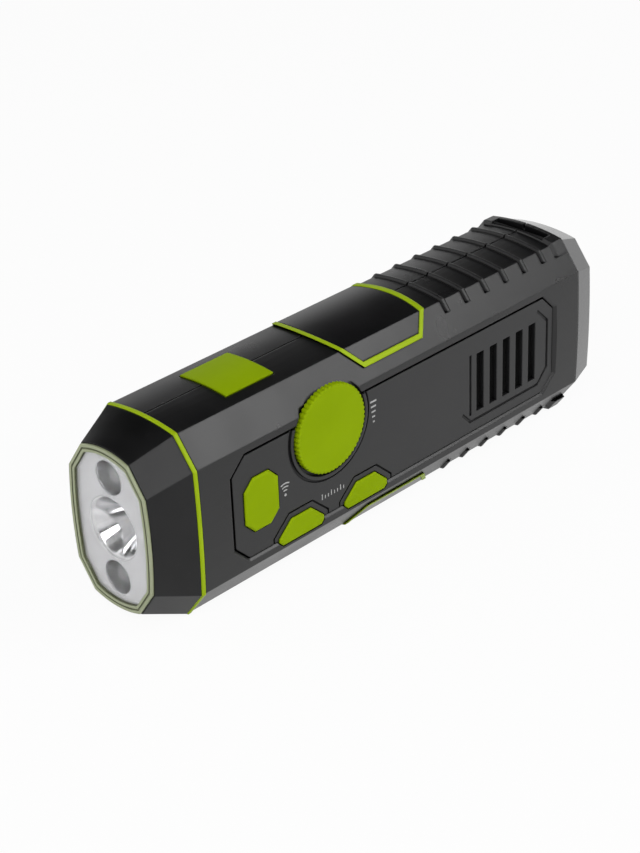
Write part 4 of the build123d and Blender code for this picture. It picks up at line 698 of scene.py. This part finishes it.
floorMesh = bmesh.new()
bmesh.ops.create_grid(floorMesh, x_segments=2, y_segments=2, size=studio["floorSize"] / 2)
floorData = bpy.data.meshes.new("studioFloor")
floorMesh.to_mesh(floorData)
floorMesh.free()
floor = bpy.data.objects.new("studioFloor", floorData)
bpy.context.scene.collection.objects.link(floor)
floorMaterial, floorTree, floorShader = newMaterial("floorPale")
floorShader.inputs["Base Color"].default_value = (*[studio["floorTone"]] * 3, 1)
floorShader.inputs["Roughness"].default_value = studio["floorRoughness"]
floorShader.inputs["Specular IOR Level"].default_value = 0.0
rays = node(floorTree, "ShaderNodeLightPath")
seen = combine(floorTree, "MAXIMUM", rays.outputs["Is Camera Ray"], rays.outputs["Is Transmission Ray"])
seen = combine(floorTree, "MULTIPLY", seen, studio["seenGlow"])
mirrored = combine(floorTree, "MULTIPLY", rays.outputs["Is Glossy Ray"], studio["mirrorGlow"])
seen = combine(floorTree, "MAXIMUM", seen, mirrored)
white = node(floorTree, "ShaderNodeEmission", Strength=1.0)
blendFloor = node(floorTree, "ShaderNodeMixShader")
floorTree.links.new(seen, blendFloor.inputs[0])
floorTree.links.new(floorShader.outputs[0], blendFloor.inputs[1])
floorTree.links.new(white.outputs[0], blendFloor.inputs[2])
floorTree.links.new(blendFloor.outputs[0], floorTree.nodes["Material Output"].inputs["Surface"])
floorData.materials.append(floorMaterial)


def softLight(name, look):
    data = bpy.data.lights.new(name, "AREA")
    data.energy = look["power"]
    data.shape = "RECTANGLE"
    data.size, data.size_y = look["size"], look["height"]
    lamp = bpy.data.objects.new(name, data)
    bpy.context.scene.collection.objects.link(lamp)
    lamp.location = look["at"]
    lamp.rotation_mode = "QUATERNION"
    lamp.rotation_quaternion = (Vector(look["at"]) - Vector((0, 0, midZ))).to_track_quat("Z", "Y")


for lampName in ("keyLight", "fillLight", "backLight"):
    softLight(lampName, studio[lampName])

shot = {
    "azimuth": -44.731, "elevation": 29.061, "roll": -2.278,
    "distance": 0.56071, "target": (-0.01067, 0.0, 0.02508),
    "lens": 87.78, "sensor": 36, "near": 0.01, "far": 20,
}
azimuth, elevation, roll = (math.radians(shot[key]) for key in ("azimuth", "elevation", "roll"))
level = math.cos(elevation)
back = Vector((math.sin(azimuth) * level, -math.cos(azimuth) * level, math.sin(elevation)))
right = Vector((math.cos(azimuth), math.sin(azimuth), 0))
up = back.cross(right)
tiltedRight = right * math.cos(roll) + up * math.sin(roll)
tiltedUp = up * math.cos(roll) - right * math.sin(roll)
cameraData = bpy.data.cameras.new("photoCamera")
cameraData.lens = shot["lens"]
cameraData.sensor_width = shot["sensor"]
cameraData.clip_start, cameraData.clip_end = shot["near"], shot["far"]
camera = bpy.data.objects.new("photoCamera", cameraData)
bpy.context.scene.collection.objects.link(camera)
turned = Matrix((tiltedRight, tiltedUp, back)).transposed().to_4x4()
camera.matrix_world = Matrix.Translation(Vector(shot["target"]) + back * shot["distance"]) @ turned
bpy.context.scene.camera = camera
bpy.context.scene.view_settings.view_transform = "Standard"
print("studio and camera set")
